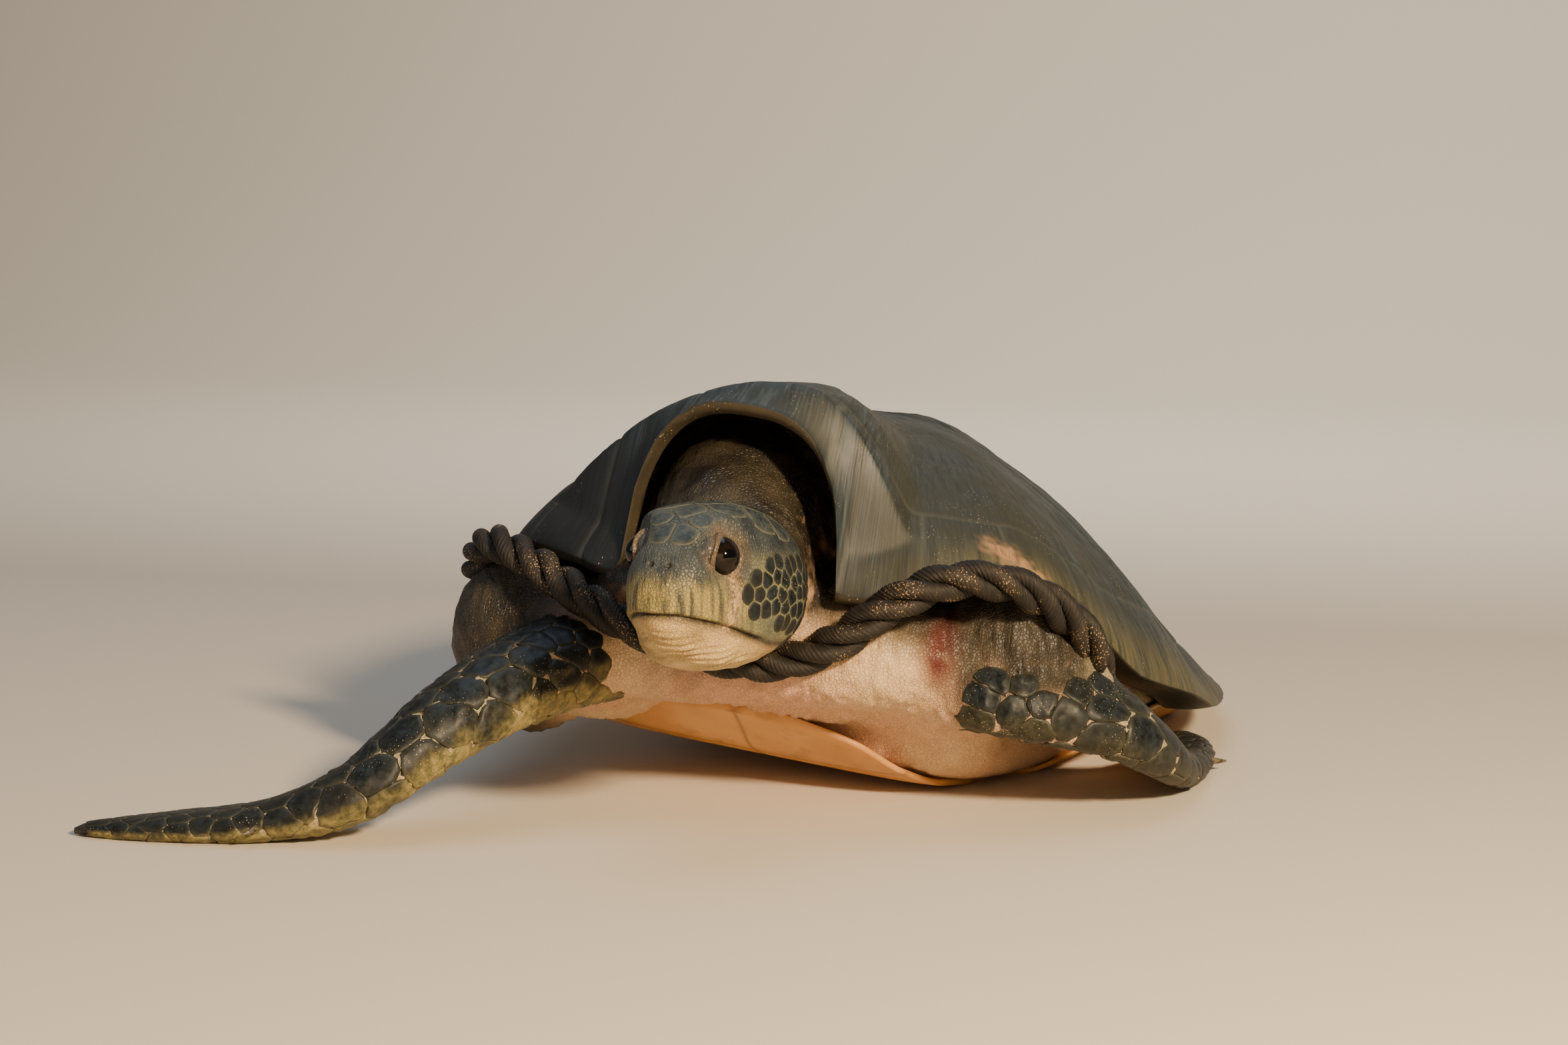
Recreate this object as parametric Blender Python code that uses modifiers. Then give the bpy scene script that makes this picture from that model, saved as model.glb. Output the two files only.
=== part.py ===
"""Adult green sea turtle at life size, hauled out on a beach: a still display model.

The shell is built in its own frame (nose to -Y, left side to +X, underside of the
plastron at z = 0) and then tipped as it lies; the soft body is built where it rests.
The turtle wears a thick laid rope as a sling round its front.
"""

import math

import bmesh
import bpy
import numpy as np
from mathutils import Matrix, Vector

# ---------------------------------------------------------------- driving sizes, metres
SHELL_LENGTH = 1.00
SHELL_WIDTH = 0.737
SHELL_HEIGHT = 0.2845
SHELL_WALL = 0.012
BELLY = -0.044
CROWN_Y = -0.12
CROWN_ROUND = 0.22
HOOD_HALF_WIDTH = 0.110
HOOD_LOW = 0.125
HOOD_TOP = 0.292
PLATE = 0.012
GAP = 0.0003

YAW = math.radians(-5.0)
PITCH = math.radians(5.5)
ROLL = math.radians(6.5)
LIFT = 0.055

HEAD_ORIGIN = (0.006, -0.512, 0.225)
HEAD_TURN = math.radians(6.0)
HEAD_PITCH = math.radians(8.0)
EYE_RADIUS = 0.0185
EYE_PLACE = (0.148, 0.0355, 0.026)

ROPE_DIAMETER = 0.038
ROPE_POINTS = 36

VOXEL = 0.0065
FLESH_TRIANGLES = 2800
SMALLEST_PIECE = 2e-5

# Middle of the finished model on the floor, taken off every piece.
ORIGIN = (-0.0905, -0.082)


def clear():
    for old in list(bpy.data.objects):
        bpy.data.objects.remove(old, do_unlink=True)


def group(name):
    made = bpy.data.collections.new(name)
    bpy.context.scene.collection.children.link(made)
    return made


clear()
TURTLE = group("sea_turtle")
CUTTERS = group("cutters")


# ---------------------------------------------------------------- lines and surfaces
def curve(x, stations, values):
    """Cubic curve through the stations that never overshoots between two of them."""
    stations = np.asarray(stations, float)
    values = np.asarray(values, float)
    gap = np.diff(stations)
    slope = np.diff(values) / gap
    tangent = np.empty_like(values)
    tangent[0] = slope[0]
    tangent[-1] = slope[-1]
    total = slope[:-1] + slope[1:]
    harmonic = 2 * slope[:-1] * slope[1:] / np.where(total == 0, 1, total)
    tangent[1:-1] = np.where(slope[:-1] * slope[1:] > 0, harmonic, 0)
    at = np.clip(np.asarray(x, float), stations[0], stations[-1])
    i = np.clip(np.searchsorted(stations, at) - 1, 0, len(gap) - 1)
    s = (at - stations[i]) / gap[i]
    rise = values[i] * (1 + 2 * s) * (1 - s) ** 2 + values[i + 1] * s * s * (3 - 2 * s)
    lean = tangent[i] * s * (1 - s) ** 2 + tangent[i + 1] * s * s * (s - 1)
    return rise + gap[i] * lean


def line_through(points, count):
    """Evenly spaced points on a smooth line through the given points."""
    points = np.asarray(points, float)
    step = np.linalg.norm(np.diff(points, axis=0), axis=1)
    at = np.concatenate([[0], np.cumsum(step)])
    tangent = np.gradient(points, at, axis=0)
    x = np.linspace(0, at[-1], 2000)
    i = np.clip(np.searchsorted(at, x) - 1, 0, len(step) - 1)
    s = ((x - at[i]) / step[i])[:, None]
    h = step[i][:, None]
    fine = (
        points[i] * (1 + 2 * s) * (1 - s) ** 2
        + points[i + 1] * s * s * (3 - 2 * s)
        + h * tangent[i] * s * (1 - s) ** 2
        + h * tangent[i + 1] * s * s * (s - 1)
    )
    run = np.linalg.norm(np.diff(fine, axis=0), axis=1)
    run = np.concatenate([[0], np.cumsum(run)])
    even = np.linspace(0, run[-1], count)
    return np.stack([np.interp(even, run, fine[:, k]) for k in range(3)], axis=1)


def unit(v):
    return v / np.linalg.norm(v, axis=-1, keepdims=True)


def material(name, colour, roughness):
    made = bpy.data.materials.new(name)
    made.use_nodes = True
    shader = made.node_tree.nodes["Principled BSDF"]
    shader.inputs["Base Color"].default_value = (*colour, 1.0)
    shader.inputs["Roughness"].default_value = roughness
    shader.inputs["Metallic"].default_value = 0.0
    return made


def add(name, data, finish=None, collection=TURTLE):
    made = bpy.data.objects.new(name, data)
    collection.objects.link(made)
    if finish:
        data.materials.append(finish)
    if collection is CUTTERS:
        made.hide_render = True
        made.display_type = "WIRE"
    return made


def solid(name, rings, finish=None, collection=TURTLE):
    """Closed mesh through rings of equal counts, the first and the last one filled."""
    count, around, _ = rings.shape
    index = np.arange(count * around).reshape(count, around)
    here = index[:-1]
    there = index[1:]
    quads = np.stack(
        [here, np.roll(here, -1, 1), np.roll(there, -1, 1), there], axis=-1
    )
    faces = quads.reshape(-1, 4).tolist()
    faces += [index[0][::-1].tolist(), index[-1].tolist()]
    mesh = bpy.data.meshes.new(name)
    mesh.from_pydata(rings.reshape(-1, 3).tolist(), [], faces)
    shape = bmesh.new()
    shape.from_mesh(mesh)
    bmesh.ops.triangulate(shape, faces=shape.faces, quad_method="FIXED")
    bmesh.ops.recalc_face_normals(shape, faces=shape.faces)
    shape.to_mesh(mesh)
    shape.free()
    mesh.shade_smooth()
    return add(name, mesh, finish, collection)


def superellipse(angle, power):
    """Cosine and sine of a ring that is round at power 2 and squarer above it."""
    c = np.cos(angle)
    s = np.sin(angle)
    return (
        np.sign(c) * np.abs(c) ** (2 / power),
        np.sign(s) * np.abs(s) ** (2 / power),
    )


def loft(name, centre, side, half_width, top, bottom, power=2.0, around=24):
    """Limb along a line: rings across it, half_width to each side of the centre."""
    side = np.broadcast_to(side, centre.shape)
    along = unit(np.gradient(centre, axis=0))
    side = unit(side - along * np.sum(side * along, axis=1, keepdims=True))
    up = np.cross(along, side)
    up = up * np.where(up[:, 2:3] < 0, -1, 1)
    turn = np.linspace(0, 2 * math.pi, around, endpoint=False)[None]
    across, rise = superellipse(turn, power)
    tall = np.where(rise > 0, top[:, None], bottom[:, None])
    rings = (
        centre[:, None]
        + side[:, None] * (half_width[:, None] * across)[..., None]
        + up[:, None] * (tall * rise)[..., None]
    )
    return solid(name, rings, collection=CUTTERS)


# ---------------------------------------------------------------- Boolean helpers
def carve(target, other, solver):
    cut = target.modifiers.new("cut", "BOOLEAN")
    cut.operation = "DIFFERENCE"
    cut.solver = solver
    cut.object = other
    graph = bpy.context.evaluated_depsgraph_get()
    made = bpy.data.meshes.new_from_object(target.evaluated_get(graph))
    target.modifiers.remove(cut)
    target.data = made


def drop(*objects):
    for old in objects:
        bpy.data.objects.remove(old, do_unlink=True)


# ---------------------------------------------------------------- the shell's tilt
def tipped(points):
    """Shell frame to rest: left side down, nose up, turned a little, raised by LIFT."""
    x, y, z = np.moveaxis(np.asarray(points, float), -1, 0)
    across = x * math.cos(ROLL) + z * math.sin(ROLL)
    high = z * math.cos(ROLL) - x * math.sin(ROLL)
    back = y * math.cos(PITCH) + high * math.sin(PITCH)
    up = high * math.cos(PITCH) - y * math.sin(PITCH) + LIFT
    left = across * math.cos(YAW) - back * math.sin(YAW)
    back = across * math.sin(YAW) + back * math.cos(YAW)
    return np.stack([left, back, up], axis=-1)


# ---------------------------------------------------------------- carapace
RIM_DEGREES = [-180, -150, -120, -90, -75, -60, -47, -34, -22, -12]
RIM_DEGREES += [0, 12, 22, 34, 47, 60, 75, 90, 120, 150, 180]
RIM_HEIGHT = [0.082, 0.059, 0.037, 0.037, 0.054, 0.064, 0.080, 0.121, 0.119, 0.112]
RIM_HEIGHT += [0.128, 0.130, 0.157, 0.162, 0.128, 0.080, 0.058, 0.035, 0.036, 0.061, 0.082]
BLUNT_DEGREES = [0, 20, 45, 70, 90, 130, 155, 180]
BLUNT_PLAN = [3.0, 1.95, 1.66, 1.41, 1.24, 1.22, 1.42, 1.70]
BLUNT_RISE = [2.1, 1.44, 1.36, 1.32, 1.06, 0.86, 1.00, 1.25]
CORNER_LEFT = 0.705
CORNER_RIGHT = 0.88
MARGIN_DEGREES = [0, 25, 50, 75, 150, 180]
MARGIN_DEPTH = [0.000, 0.004, 0.022, 0.045, 0.045, 0.030]


def rim(phi):
    """Outline of the carapace seen from above; phi is 0 at the nose, pi at the tail."""
    corner = np.where(phi < 0, CORNER_RIGHT, CORNER_LEFT)
    blunt = 1 + (corner - 1) * np.clip(1 - np.abs(phi) / (0.5 * math.pi), 0, 1)
    s = np.sin(phi)
    wide = np.sign(s) * np.abs(s) ** blunt * (1 + 0.19 * np.cos(phi)) / 1.015
    return 0.5 * SHELL_WIDTH * wide, -0.5 * SHELL_LENGTH * np.cos(phi)


def hood(x):
    """Height of the arch over the neck: a squarish half round, low at its feet."""
    inside = np.clip(1 - np.abs(x / HOOD_HALF_WIDTH) ** 2.6, 0, 1)
    return HOOD_LOW + (HOOD_TOP - HOOD_LOW) * inside ** (1 / 2.6)


def ridge(x):
    """Crest behind the arch: highest left of the middle and steeper on that side."""
    fall = np.where(x < 0.04, 2.2, 8.9)
    return HOOD_TOP + 0.024 - fall * (x - 0.04) ** 2


def dome(phi, alpha, inset=0.0):
    """Carapace surface: alpha runs from 0 at the crown to pi/2 at the rim."""
    degrees = np.abs(np.degrees(phi))
    plan = curve(degrees, BLUNT_DEGREES, BLUNT_PLAN)
    rise = curve(degrees, BLUNT_DEGREES, BLUNT_RISE)
    low = curve(np.degrees(phi), RIM_DEGREES, RIM_HEIGHT)
    out = np.sin(alpha) ** (2 / plan)
    away = np.sqrt(out**2 + CROWN_ROUND**2) - CROWN_ROUND
    away = away / (math.sqrt(1 + CROWN_ROUND**2) - CROWN_ROUND)
    high = np.clip(1 - away**plan, 0, 1) ** (1 / rise)
    edge_x, edge_y = rim(phi)
    x = out * edge_x
    y = CROWN_Y + out * (edge_y - CROWN_Y)
    z = low + (SHELL_HEIGHT - low) * high
    t = np.clip((1 - out) / 0.08, 0, 1)
    t = t * t * (3 - 2 * t)
    beside = np.maximum(np.abs(x) - HOOD_HALF_WIDTH, 0)
    arch = (hood(x) - 3.0 * beside) * (1 - t) + t * ridge(x)
    arch = arch - 0.25 * np.clip(y + 0.40, 0, 0.20) - 1.2 * np.clip(y + 0.20, 0, 1)
    soft = 0.012
    z = 0.5 * (z + arch + np.sqrt((z - arch) ** 2 + soft**2)) - 0.25 * soft
    scale = 1 - inset / (0.5 * SHELL_WIDTH)
    return np.stack([x * scale, CROWN_Y + (y - CROWN_Y) * scale, z - inset], axis=-1)


def column_angles():
    """Directions from the crown, closest together round the feet of the arch."""
    half = [0, 2.5, 4.5, 6.0, 7.0, 7.8, 8.6, 9.6, 11.5, 14.5, 18, 22, 27, 33, 40, 48]
    half += [57, 67, 78, 90, 102, 114, 126, 138, 149, 159, 168, 174]
    right = [-d for d in half[:0:-1]]
    return np.radians(np.array(right + half + [180]))


def carapace_rings(steps=10, inner_steps=6):
    """Outer face, rounded rim and inner face of the wall, as rings about the crown."""
    phi = column_angles()[None]
    alpha = np.linspace(0.06, math.pi / 2, steps)[:, None]
    outer = dome(phi + 0 * alpha, alpha + 0 * phi)
    inner = dome(phi + 0 * alpha, alpha + 0 * phi, SHELL_WALL)
    wedge = curve(np.abs(np.degrees(phi)), MARGIN_DEGREES, MARGIN_DEPTH)
    edge_x, edge_y = rim(phi)
    inward = -unit(np.stack([edge_x, edge_y, 0 * edge_x], axis=-1))
    near = np.clip((alpha - 1.1) / (math.pi / 2 - 1.1), 0, 1) ** 2
    inner = inner + inward * (wedge * near)[..., None]
    keep = np.round(np.linspace(0, steps - 1, inner_steps)).astype(int)
    lip = 0.5 * (outer[-1:] + inner[-1:])
    down = np.array([0, 0, -1.0])
    lip = lip + unit(-inward + 0.6 * down) * 0.3 * SHELL_WALL
    return tipped(np.concatenate([outer, lip, inner[keep][::-1]]))


# ---------------------------------------------------------------- plastron
PLATE_Y = [-0.420, -0.412, -0.39, -0.34, -0.28, -0.21, -0.16, -0.10, 0.0]
PLATE_Y += [0.10, 0.17, 0.23, 0.30, 0.36, 0.39, 0.402]
PLATE_HALF = [0.020, 0.075, 0.128, 0.172, 0.190, 0.205, 0.280, 0.308, 0.312]
PLATE_HALF += [0.304, 0.275, 0.190, 0.152, 0.110, 0.065, 0.020]
KEEL_Y = [-0.43, -0.40, -0.36, -0.31, -0.22, -0.10, 0.0]
KEEL_RISE = [0.040, 0.020, -0.006, -0.017, -0.018, -0.008, 0.0]


def plate_height(x, y):
    """Underside of the plastron: sagging behind the front lobe, which curls up."""
    bridge = (0.042 - BELLY) * (np.clip(np.abs(x) - 0.20, 0, 1) / 0.13) ** 1.5
    return BELLY + bridge + curve(y, KEEL_Y, KEEL_RISE)


def plastron_rings(stations=20, across=9):
    turn = np.linspace(0, math.pi, stations)
    y = np.interp(-np.cos(turn), [-1, 1], [PLATE_Y[0], PLATE_Y[-1]])
    half = curve(y, PLATE_Y, PLATE_HALF)
    s = np.linspace(-1, 1, across)[None]
    x = s * half[:, None]
    y = y[:, None] + 0 * s
    thin = PLATE * (1 - 0.55 * np.abs(s) ** 6)
    low = plate_height(x, y) + 0.5 * (PLATE - thin)
    under = tipped(np.stack([x, y, low], axis=-1))
    over = tipped(np.stack([x, y, low + thin], axis=-1))
    lift = np.maximum(-under[..., 2], 0)
    under[..., 2] += lift
    over[..., 2] += lift
    return np.concatenate([under, over[:, ::-1]], axis=1)


# ---------------------------------------------------------------- soft body
def trunk_rings():
    """Body that fills the shell, cut short behind the hood so that the arch is open."""
    phi = np.radians(np.arange(-172.5, 187, 7.5))[None]
    alpha = np.linspace(0.06, math.pi / 2, 16)[:, None]
    over = dome(phi + 0 * alpha, alpha + 0 * phi, inset=0.5 * SHELL_WALL)
    edge = over[-1:]
    r = np.linspace(1, 0.06, 14)[1:, None]
    under = edge * r[..., None]
    floor = plate_height(under[..., 0], under[..., 1]) + 0.5 * PLATE
    under[..., 2] = floor + (edge[..., 2] - floor) * (r**14)
    rings = np.concatenate([over, under])
    side = curve(rings[..., 1], [-0.34, -0.24, -0.16, -0.06], [0.225, 0.245, 0.270, 0.310])
    rings[..., 0] = np.clip(rings[..., 0], -side, side)
    rings[..., 1] = np.clip(rings[..., 1], -0.375, 0.430)
    rings = tipped(rings)
    rings[..., 2] = np.maximum(rings[..., 2], 0.5 * PLATE)
    return rings


def neck(name="neck_form"):
    """Thick neck: fills the arch at its root and narrows a little towards the head."""
    ends = [(-0.040, -0.20, 0.205), (-0.045, -0.36, 0.222), (-0.030, -0.44, 0.228)]
    ends += [(-0.004, -0.50, 0.226), (0.004, -0.535, 0.225)]
    centre = line_through(ends, 14)
    y = -centre[:, 1]
    wide = curve(y, [0.2, 0.36, 0.42, 0.48, 0.54], [0.100, 0.098, 0.088, 0.072, 0.056])
    top = curve(y, [0.2, 0.36, 0.42, 0.47, 0.51, 0.54], [0.120, 0.135, 0.124, 0.096, 0.070, 0.052])
    low = curve(y, [0.2, 0.36, 0.42, 0.48, 0.54], [0.110, 0.105, 0.086, 0.070, 0.058])
    return loft(name, centre, (1, 0, 0), wide, top, low, 2.2)


def chest(name="chest_form"):
    """Bolster of skin between the plastron and the throat, from arm to arm."""
    ends = [(-0.22, -0.37, 0.140), (-0.13, -0.415, 0.142), (0.00, -0.430, 0.146)]
    ends += [(0.12, -0.428, 0.146), (0.20, -0.38, 0.140)]
    centre = line_through(ends, 13)
    round_off = np.sqrt(np.clip(1 - np.linspace(-0.97, 0.97, 13) ** 6, 0, 1))
    return loft(name, centre, (0, 1, 0), 0.062 * round_off, 0.062 * round_off, 0.050 * round_off)


def shoulder(name, x, y, z, radii):
    """Rounded mass of the upper arm where it leaves the shell."""
    turn = np.linspace(0.12, math.pi - 0.12, 11)
    ring = np.linspace(0, 2 * math.pi, 20, endpoint=False)[None]
    rise = np.cos(turn)[:, None]
    out = np.sin(turn)[:, None]
    rings = np.stack(
        [
            x + radii[0] * out * np.cos(ring),
            y + radii[1] * out * np.sin(ring),
            z + radii[2] * rise + 0 * ring,
        ],
        axis=-1,
    )
    return solid(name, rings, collection=CUTTERS)


# Limbs: centre line from root to tip, the way the leading edge faces along it, then
# stations from 0 to 1 with half widths and half depths, and where the claw sits.
ARM_RIGHT = {
    "line": [
        (-0.100, -0.350, 0.140),
        (-0.172, -0.445, 0.144),
        (-0.216, -0.526, 0.131),
        (-0.272, -0.625, 0.088),
        (-0.322, -0.672, 0.043),
        (-0.390, -0.690, 0.018),
        (-0.480, -0.716, 0.010),
        (-0.572, -0.745, 0.006),
    ],
    "leading": [(0.6, -0.7, -0.4), (0.8, -0.5, -0.3), (0.8, -0.6, 0), (0.2, -1, 0), (0.1, -1, 0)],
    "stations": [0, 0.2, 0.4, 0.5, 0.62, 0.75, 0.9, 1],
    "half_width": [0.070, 0.059, 0.053, 0.050, 0.053, 0.055, 0.042, 0.012],
    "half_depth": [0.052, 0.052, 0.046, 0.040, 0.032, 0.021, 0.013, 0.008],
    "claw": 0.74,
}
ARM_LEFT = {
    "line": [
        (0.130, -0.330, 0.142),
        (0.205, -0.412, 0.134),
        (0.272, -0.402, 0.118),
        (0.322, -0.368, 0.094),
        (0.342, -0.318, 0.064),
        (0.344, -0.255, 0.034),
        (0.340, -0.180, 0.016),
        (0.332, -0.085, 0.009),
        (0.318, 0.010, 0.006),
    ],
    "leading": [(-0.2, -0.7, -0.7), (0.1, -0.75, -0.7), (0.8, -0.6, -0.5), (1, 0, 0), (1, 0.1, 0)],
    "stations": [0, 0.2, 0.45, 0.6, 0.75, 0.9, 1],
    "half_width": [0.070, 0.060, 0.054, 0.048, 0.044, 0.034, 0.010],
    "half_depth": [0.050, 0.040, 0.032, 0.023, 0.016, 0.012, 0.008],
    "claw": 0.74,
}
REAR_RIGHT = {
    "line": [
        (-0.100, 0.280, 0.085),
        (-0.165, 0.375, 0.062),
        (-0.215, 0.450, 0.036),
        (-0.255, 0.520, 0.017),
        (-0.285, 0.595, 0.010),
    ],
    "leading": [(-1, -0.6, 0), (-1, -0.5, 0)],
    "stations": [0, 0.3, 0.6, 0.85, 1],
    "half_width": [0.055, 0.055, 0.062, 0.060, 0.020],
    "half_depth": [0.045, 0.032, 0.020, 0.014, 0.010],
    "claw": 0.72,
}
REAR_LEFT = {
    "line": [
        (0.100, 0.280, 0.065),
        (0.142, 0.370, 0.046),
        (0.158, 0.440, 0.030),
        (0.162, 0.502, 0.016),
        (0.156, 0.568, 0.010),
    ],
    "leading": [(1, -0.6, 0), (1, -0.5, 0)],
    "stations": [0, 0.3, 0.6, 0.85, 1],
    "half_width": [0.055, 0.055, 0.060, 0.054, 0.020],
    "half_depth": [0.045, 0.032, 0.020, 0.014, 0.010],
    "claw": 0.72,
}
LIMBS = {
    "front_flipper_right": ARM_RIGHT,
    "front_flipper_left": ARM_LEFT,
    "hind_flipper_right": REAR_RIGHT,
    "hind_flipper_left": REAR_LEFT,
}
TAIL = [(0, 0.33, 0.062), (0, 0.43, 0.052), (0.004, 0.505, 0.034), (0.008, 0.560, 0.012)]
CLAW_LENGTH = 0.016
CLAW_RADIUS = 0.0048


def spread(directions, count):
    """Unit directions blended evenly along a limb."""
    directions = np.asarray(directions, float)
    at = np.linspace(0, len(directions) - 1, count)
    mixed = [np.interp(at, range(len(directions)), directions[:, k]) for k in range(3)]
    return unit(np.stack(mixed, axis=1))


def limb_frame(limb, count):
    """Centre line of a limb, its own direction and its leading side, all along it."""
    centre = line_through(limb["line"], count)
    along = unit(np.gradient(centre, axis=0))
    side = spread(limb["leading"], count)
    side = unit(side - along * np.sum(side * along, axis=1, keepdims=True))
    return centre, along, side


def flipper(name, limb, count=22):
    """Flipper with a thick round leading edge and a thin trailing one."""
    centre, along, side = limb_frame(limb, count)
    t = np.linspace(0, 1, count)
    up = np.cross(along, side)
    up = up * np.where(up[:, 2:3] < 0, -1, 1)
    half = curve(t, limb["stations"], limb["half_width"])[:, None]
    deep = curve(t, limb["stations"], limb["half_depth"])[:, None]
    turn = np.linspace(0, 2 * math.pi, 26, endpoint=False)[None]
    across = np.cos(turn)
    rise = np.sin(turn) * (0.70 + 0.30 * across) ** 0.8
    rings = (
        centre[:, None]
        + side[:, None] * (half * across)[..., None]
        + up[:, None] * (deep * rise)[..., None]
    )
    return solid(name, rings, collection=CUTTERS)


def claw(name, limb):
    """Horn claw on the leading edge, swept towards the tip of the flipper."""
    centre, along, side = limb_frame(limb, 101)
    at = round(100 * limb["claw"])
    half = curve(limb["claw"], limb["stations"], limb["half_width"])
    s = np.linspace(0, 1, 5)[:, None]
    out = half - 0.35 * CLAW_LENGTH + CLAW_LENGTH * s
    spine = centre[at] + side[at] * out + along[at] * (0.55 * CLAW_LENGTH * s * s)
    fat = CLAW_RADIUS * np.sqrt(1.02 - s)
    turn = np.linspace(0, 2 * math.pi, 8, endpoint=False)[None]
    high = np.cross(side[at], along[at])
    rings = (
        spine[:, None]
        + along[at] * (fat * np.cos(turn))[..., None]
        + high * (0.8 * fat * np.sin(turn))[..., None]
    )
    return solid(name, rings, CLAW)


# ---------------------------------------------------------------- head
HEAD_A = [-0.060, -0.030, 0.000, 0.040, 0.080, 0.120, 0.150, 0.175, 0.190, 0.199, 0.204, 0.206]
HEAD_HALF = [0.036, 0.048, 0.061, 0.0715, 0.0705, 0.062, 0.0525, 0.0405, 0.0310, 0.0215, 0.0120, 0.003]
HEAD_TOP = [0.040, 0.051, 0.062, 0.071, 0.075, 0.071, 0.061, 0.043, 0.0275, 0.0130, 0.0020, -0.010]
HEAD_LOW = [-0.040, -0.050, -0.060, -0.070, -0.077, -0.077, -0.070, -0.058, -0.047, -0.038, -0.030, -0.016]
HEAD_WIDEST = [-0.004, -0.005, -0.006, -0.012, -0.010, -0.004, 0.002, -0.002, -0.008, -0.012, -0.013, -0.013]
HEAD_POWER = [2.1, 2.1, 2.2, 2.3, 2.5, 2.9, 2.9, 2.6, 2.3, 2.1, 2.0, 2.0]


def head_axes():
    """Forward, left and up of the head as it is held."""
    turn = HEAD_TURN
    flat = np.array([-math.sin(turn), -math.cos(turn), 0.0])
    left = np.array([math.cos(turn), -math.sin(turn), 0.0])
    up = np.array([0, 0, 1.0])
    forward = flat * math.cos(HEAD_PITCH) + up * math.sin(HEAD_PITCH)
    above = up * math.cos(HEAD_PITCH) - flat * math.sin(HEAD_PITCH)
    return forward, left, above


def head_to_world(points):
    forward, left, above = head_axes()
    a, b, c = np.moveaxis(np.asarray(points, float), -1, 0)
    return (
        np.array(HEAD_ORIGIN)
        + a[..., None] * forward
        + b[..., None] * left
        + c[..., None] * above
    )


def bump(a, b, c, centre, radii):
    """Soft round swelling of height 1 about a point of the head, on both sides."""
    da = (a - centre[0]) / radii[0]
    db = (np.abs(b) - centre[1]) / radii[1]
    dc = (c - centre[2]) / radii[2]
    return np.exp(-(da**2 + db**2 + dc**2))


def head_form(a, turn):
    """Head surface in its own axes, with brow, orbit, cheek and the step of the beak."""
    half = curve(a, HEAD_A, HEAD_HALF)
    top = curve(a, HEAD_A, HEAD_TOP)
    low = curve(a, HEAD_A, HEAD_LOW)
    mid = curve(a, HEAD_A, HEAD_WIDEST)
    power = curve(a, HEAD_A, HEAD_POWER)
    c = np.cos(turn)
    s = np.sin(turn)
    lower_power = 0.5 * (power + 2.0)
    p = np.where(s > 0, power, lower_power)
    across = np.sign(c) * np.abs(c) ** (2 / p)
    rise = np.sign(s) * np.abs(s) ** (2 / p)
    b = half * across
    high = mid + rise * np.where(s > 0, top - mid, mid - low)
    grow = 0.0040 * bump(a, b, high, (0.140, 0.040, 0.056), (0.024, 0.016, 0.014))
    grow -= 0.0050 * bump(a, b, high, EYE_PLACE, (0.020, 0.022, 0.017))
    grow += 0.0030 * bump(a, b, high, (0.060, 0.066, -0.020), (0.035, 0.03, 0.028))
    grow -= 0.0035 * bump(a, b, high, (0.165, 0.045, -0.050), (0.030, 0.04, 0.010))
    scale = 1 + grow / np.maximum(np.hypot(b, high - mid), 0.012)
    return np.stack([a, b * scale, mid + (high - mid) * scale], axis=-1)


def head(name="head_form"):
    t = np.linspace(0, 1, 26)[:, None]
    a = HEAD_A[0] + (HEAD_A[-1] - HEAD_A[0]) * np.sin(0.5 * math.pi * t)
    turn = np.linspace(0, 2 * math.pi, 32, endpoint=False)[None]
    rings = head_to_world(head_form(a + 0 * turn, turn + 0 * a))
    return solid(name, rings, collection=CUTTERS)


def ball(name, centre, radius, finish, segments=14):
    mesh = bpy.data.meshes.new(name)
    shape = bmesh.new()
    bmesh.ops.create_uvsphere(
        shape, u_segments=segments, v_segments=segments // 2 + 3, radius=radius
    )
    bmesh.ops.translate(shape, verts=shape.verts, vec=tuple(centre))
    shape.to_mesh(mesh)
    shape.free()
    mesh.shade_smooth()
    return add(name, mesh, finish)


# ---------------------------------------------------------------- rope
ROPE = [(0.275, -0.290, 0.080), (0.297, -0.333, 0.118), (0.302, -0.378, 0.160)]
ROPE += [(0.279, -0.415, 0.199), (0.238, -0.455, 0.227), (0.192, -0.482, 0.231)]
ROPE += [(0.137, -0.499, 0.207), (0.088, -0.504, 0.172), (0.035, -0.502, 0.152)]
ROPE += [(-0.035, -0.508, 0.156), (-0.105, -0.502, 0.176), (-0.172, -0.480, 0.203)]
ROPE += [(-0.232, -0.449, 0.228), (-0.286, -0.412, 0.2385), (-0.318, -0.368, 0.212)]
ROPE += [(-0.325, -0.320, 0.165), (-0.312, -0.278, 0.120), (-0.290, -0.245, 0.085)]


def rope():
    """The rope as a round bar with closed ends."""
    data = bpy.data.curves.new("rope", "CURVE")
    data.dimensions = "3D"
    data.bevel_depth = 0.5 * ROPE_DIAMETER
    data.bevel_resolution = 2
    points = line_through(ROPE, ROPE_POINTS)
    run = data.splines.new("POLY")
    run.points.add(len(points) - 1)
    run.points.foreach_set("co", np.c_[points, np.ones(len(points))].ravel())
    data.use_fill_caps = True
    return add("rope", data, HEMP)


# ---------------------------------------------------------------- finishes
SHELL = material("carapace_horn", (0.075, 0.095, 0.095), 0.55)
PALE_PLATE = material("plastron_horn", (0.52, 0.40, 0.22), 0.5)
SKIN = material("skin", (0.16, 0.15, 0.12), 0.6)
EYE = material("wet_eye", (0.010, 0.009, 0.009), 0.08)
CLAW = material("claw_horn", (0.30, 0.24, 0.14), 0.45)
HEMP = material("wet_rope", (0.050, 0.042, 0.030), 0.85)


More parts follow.
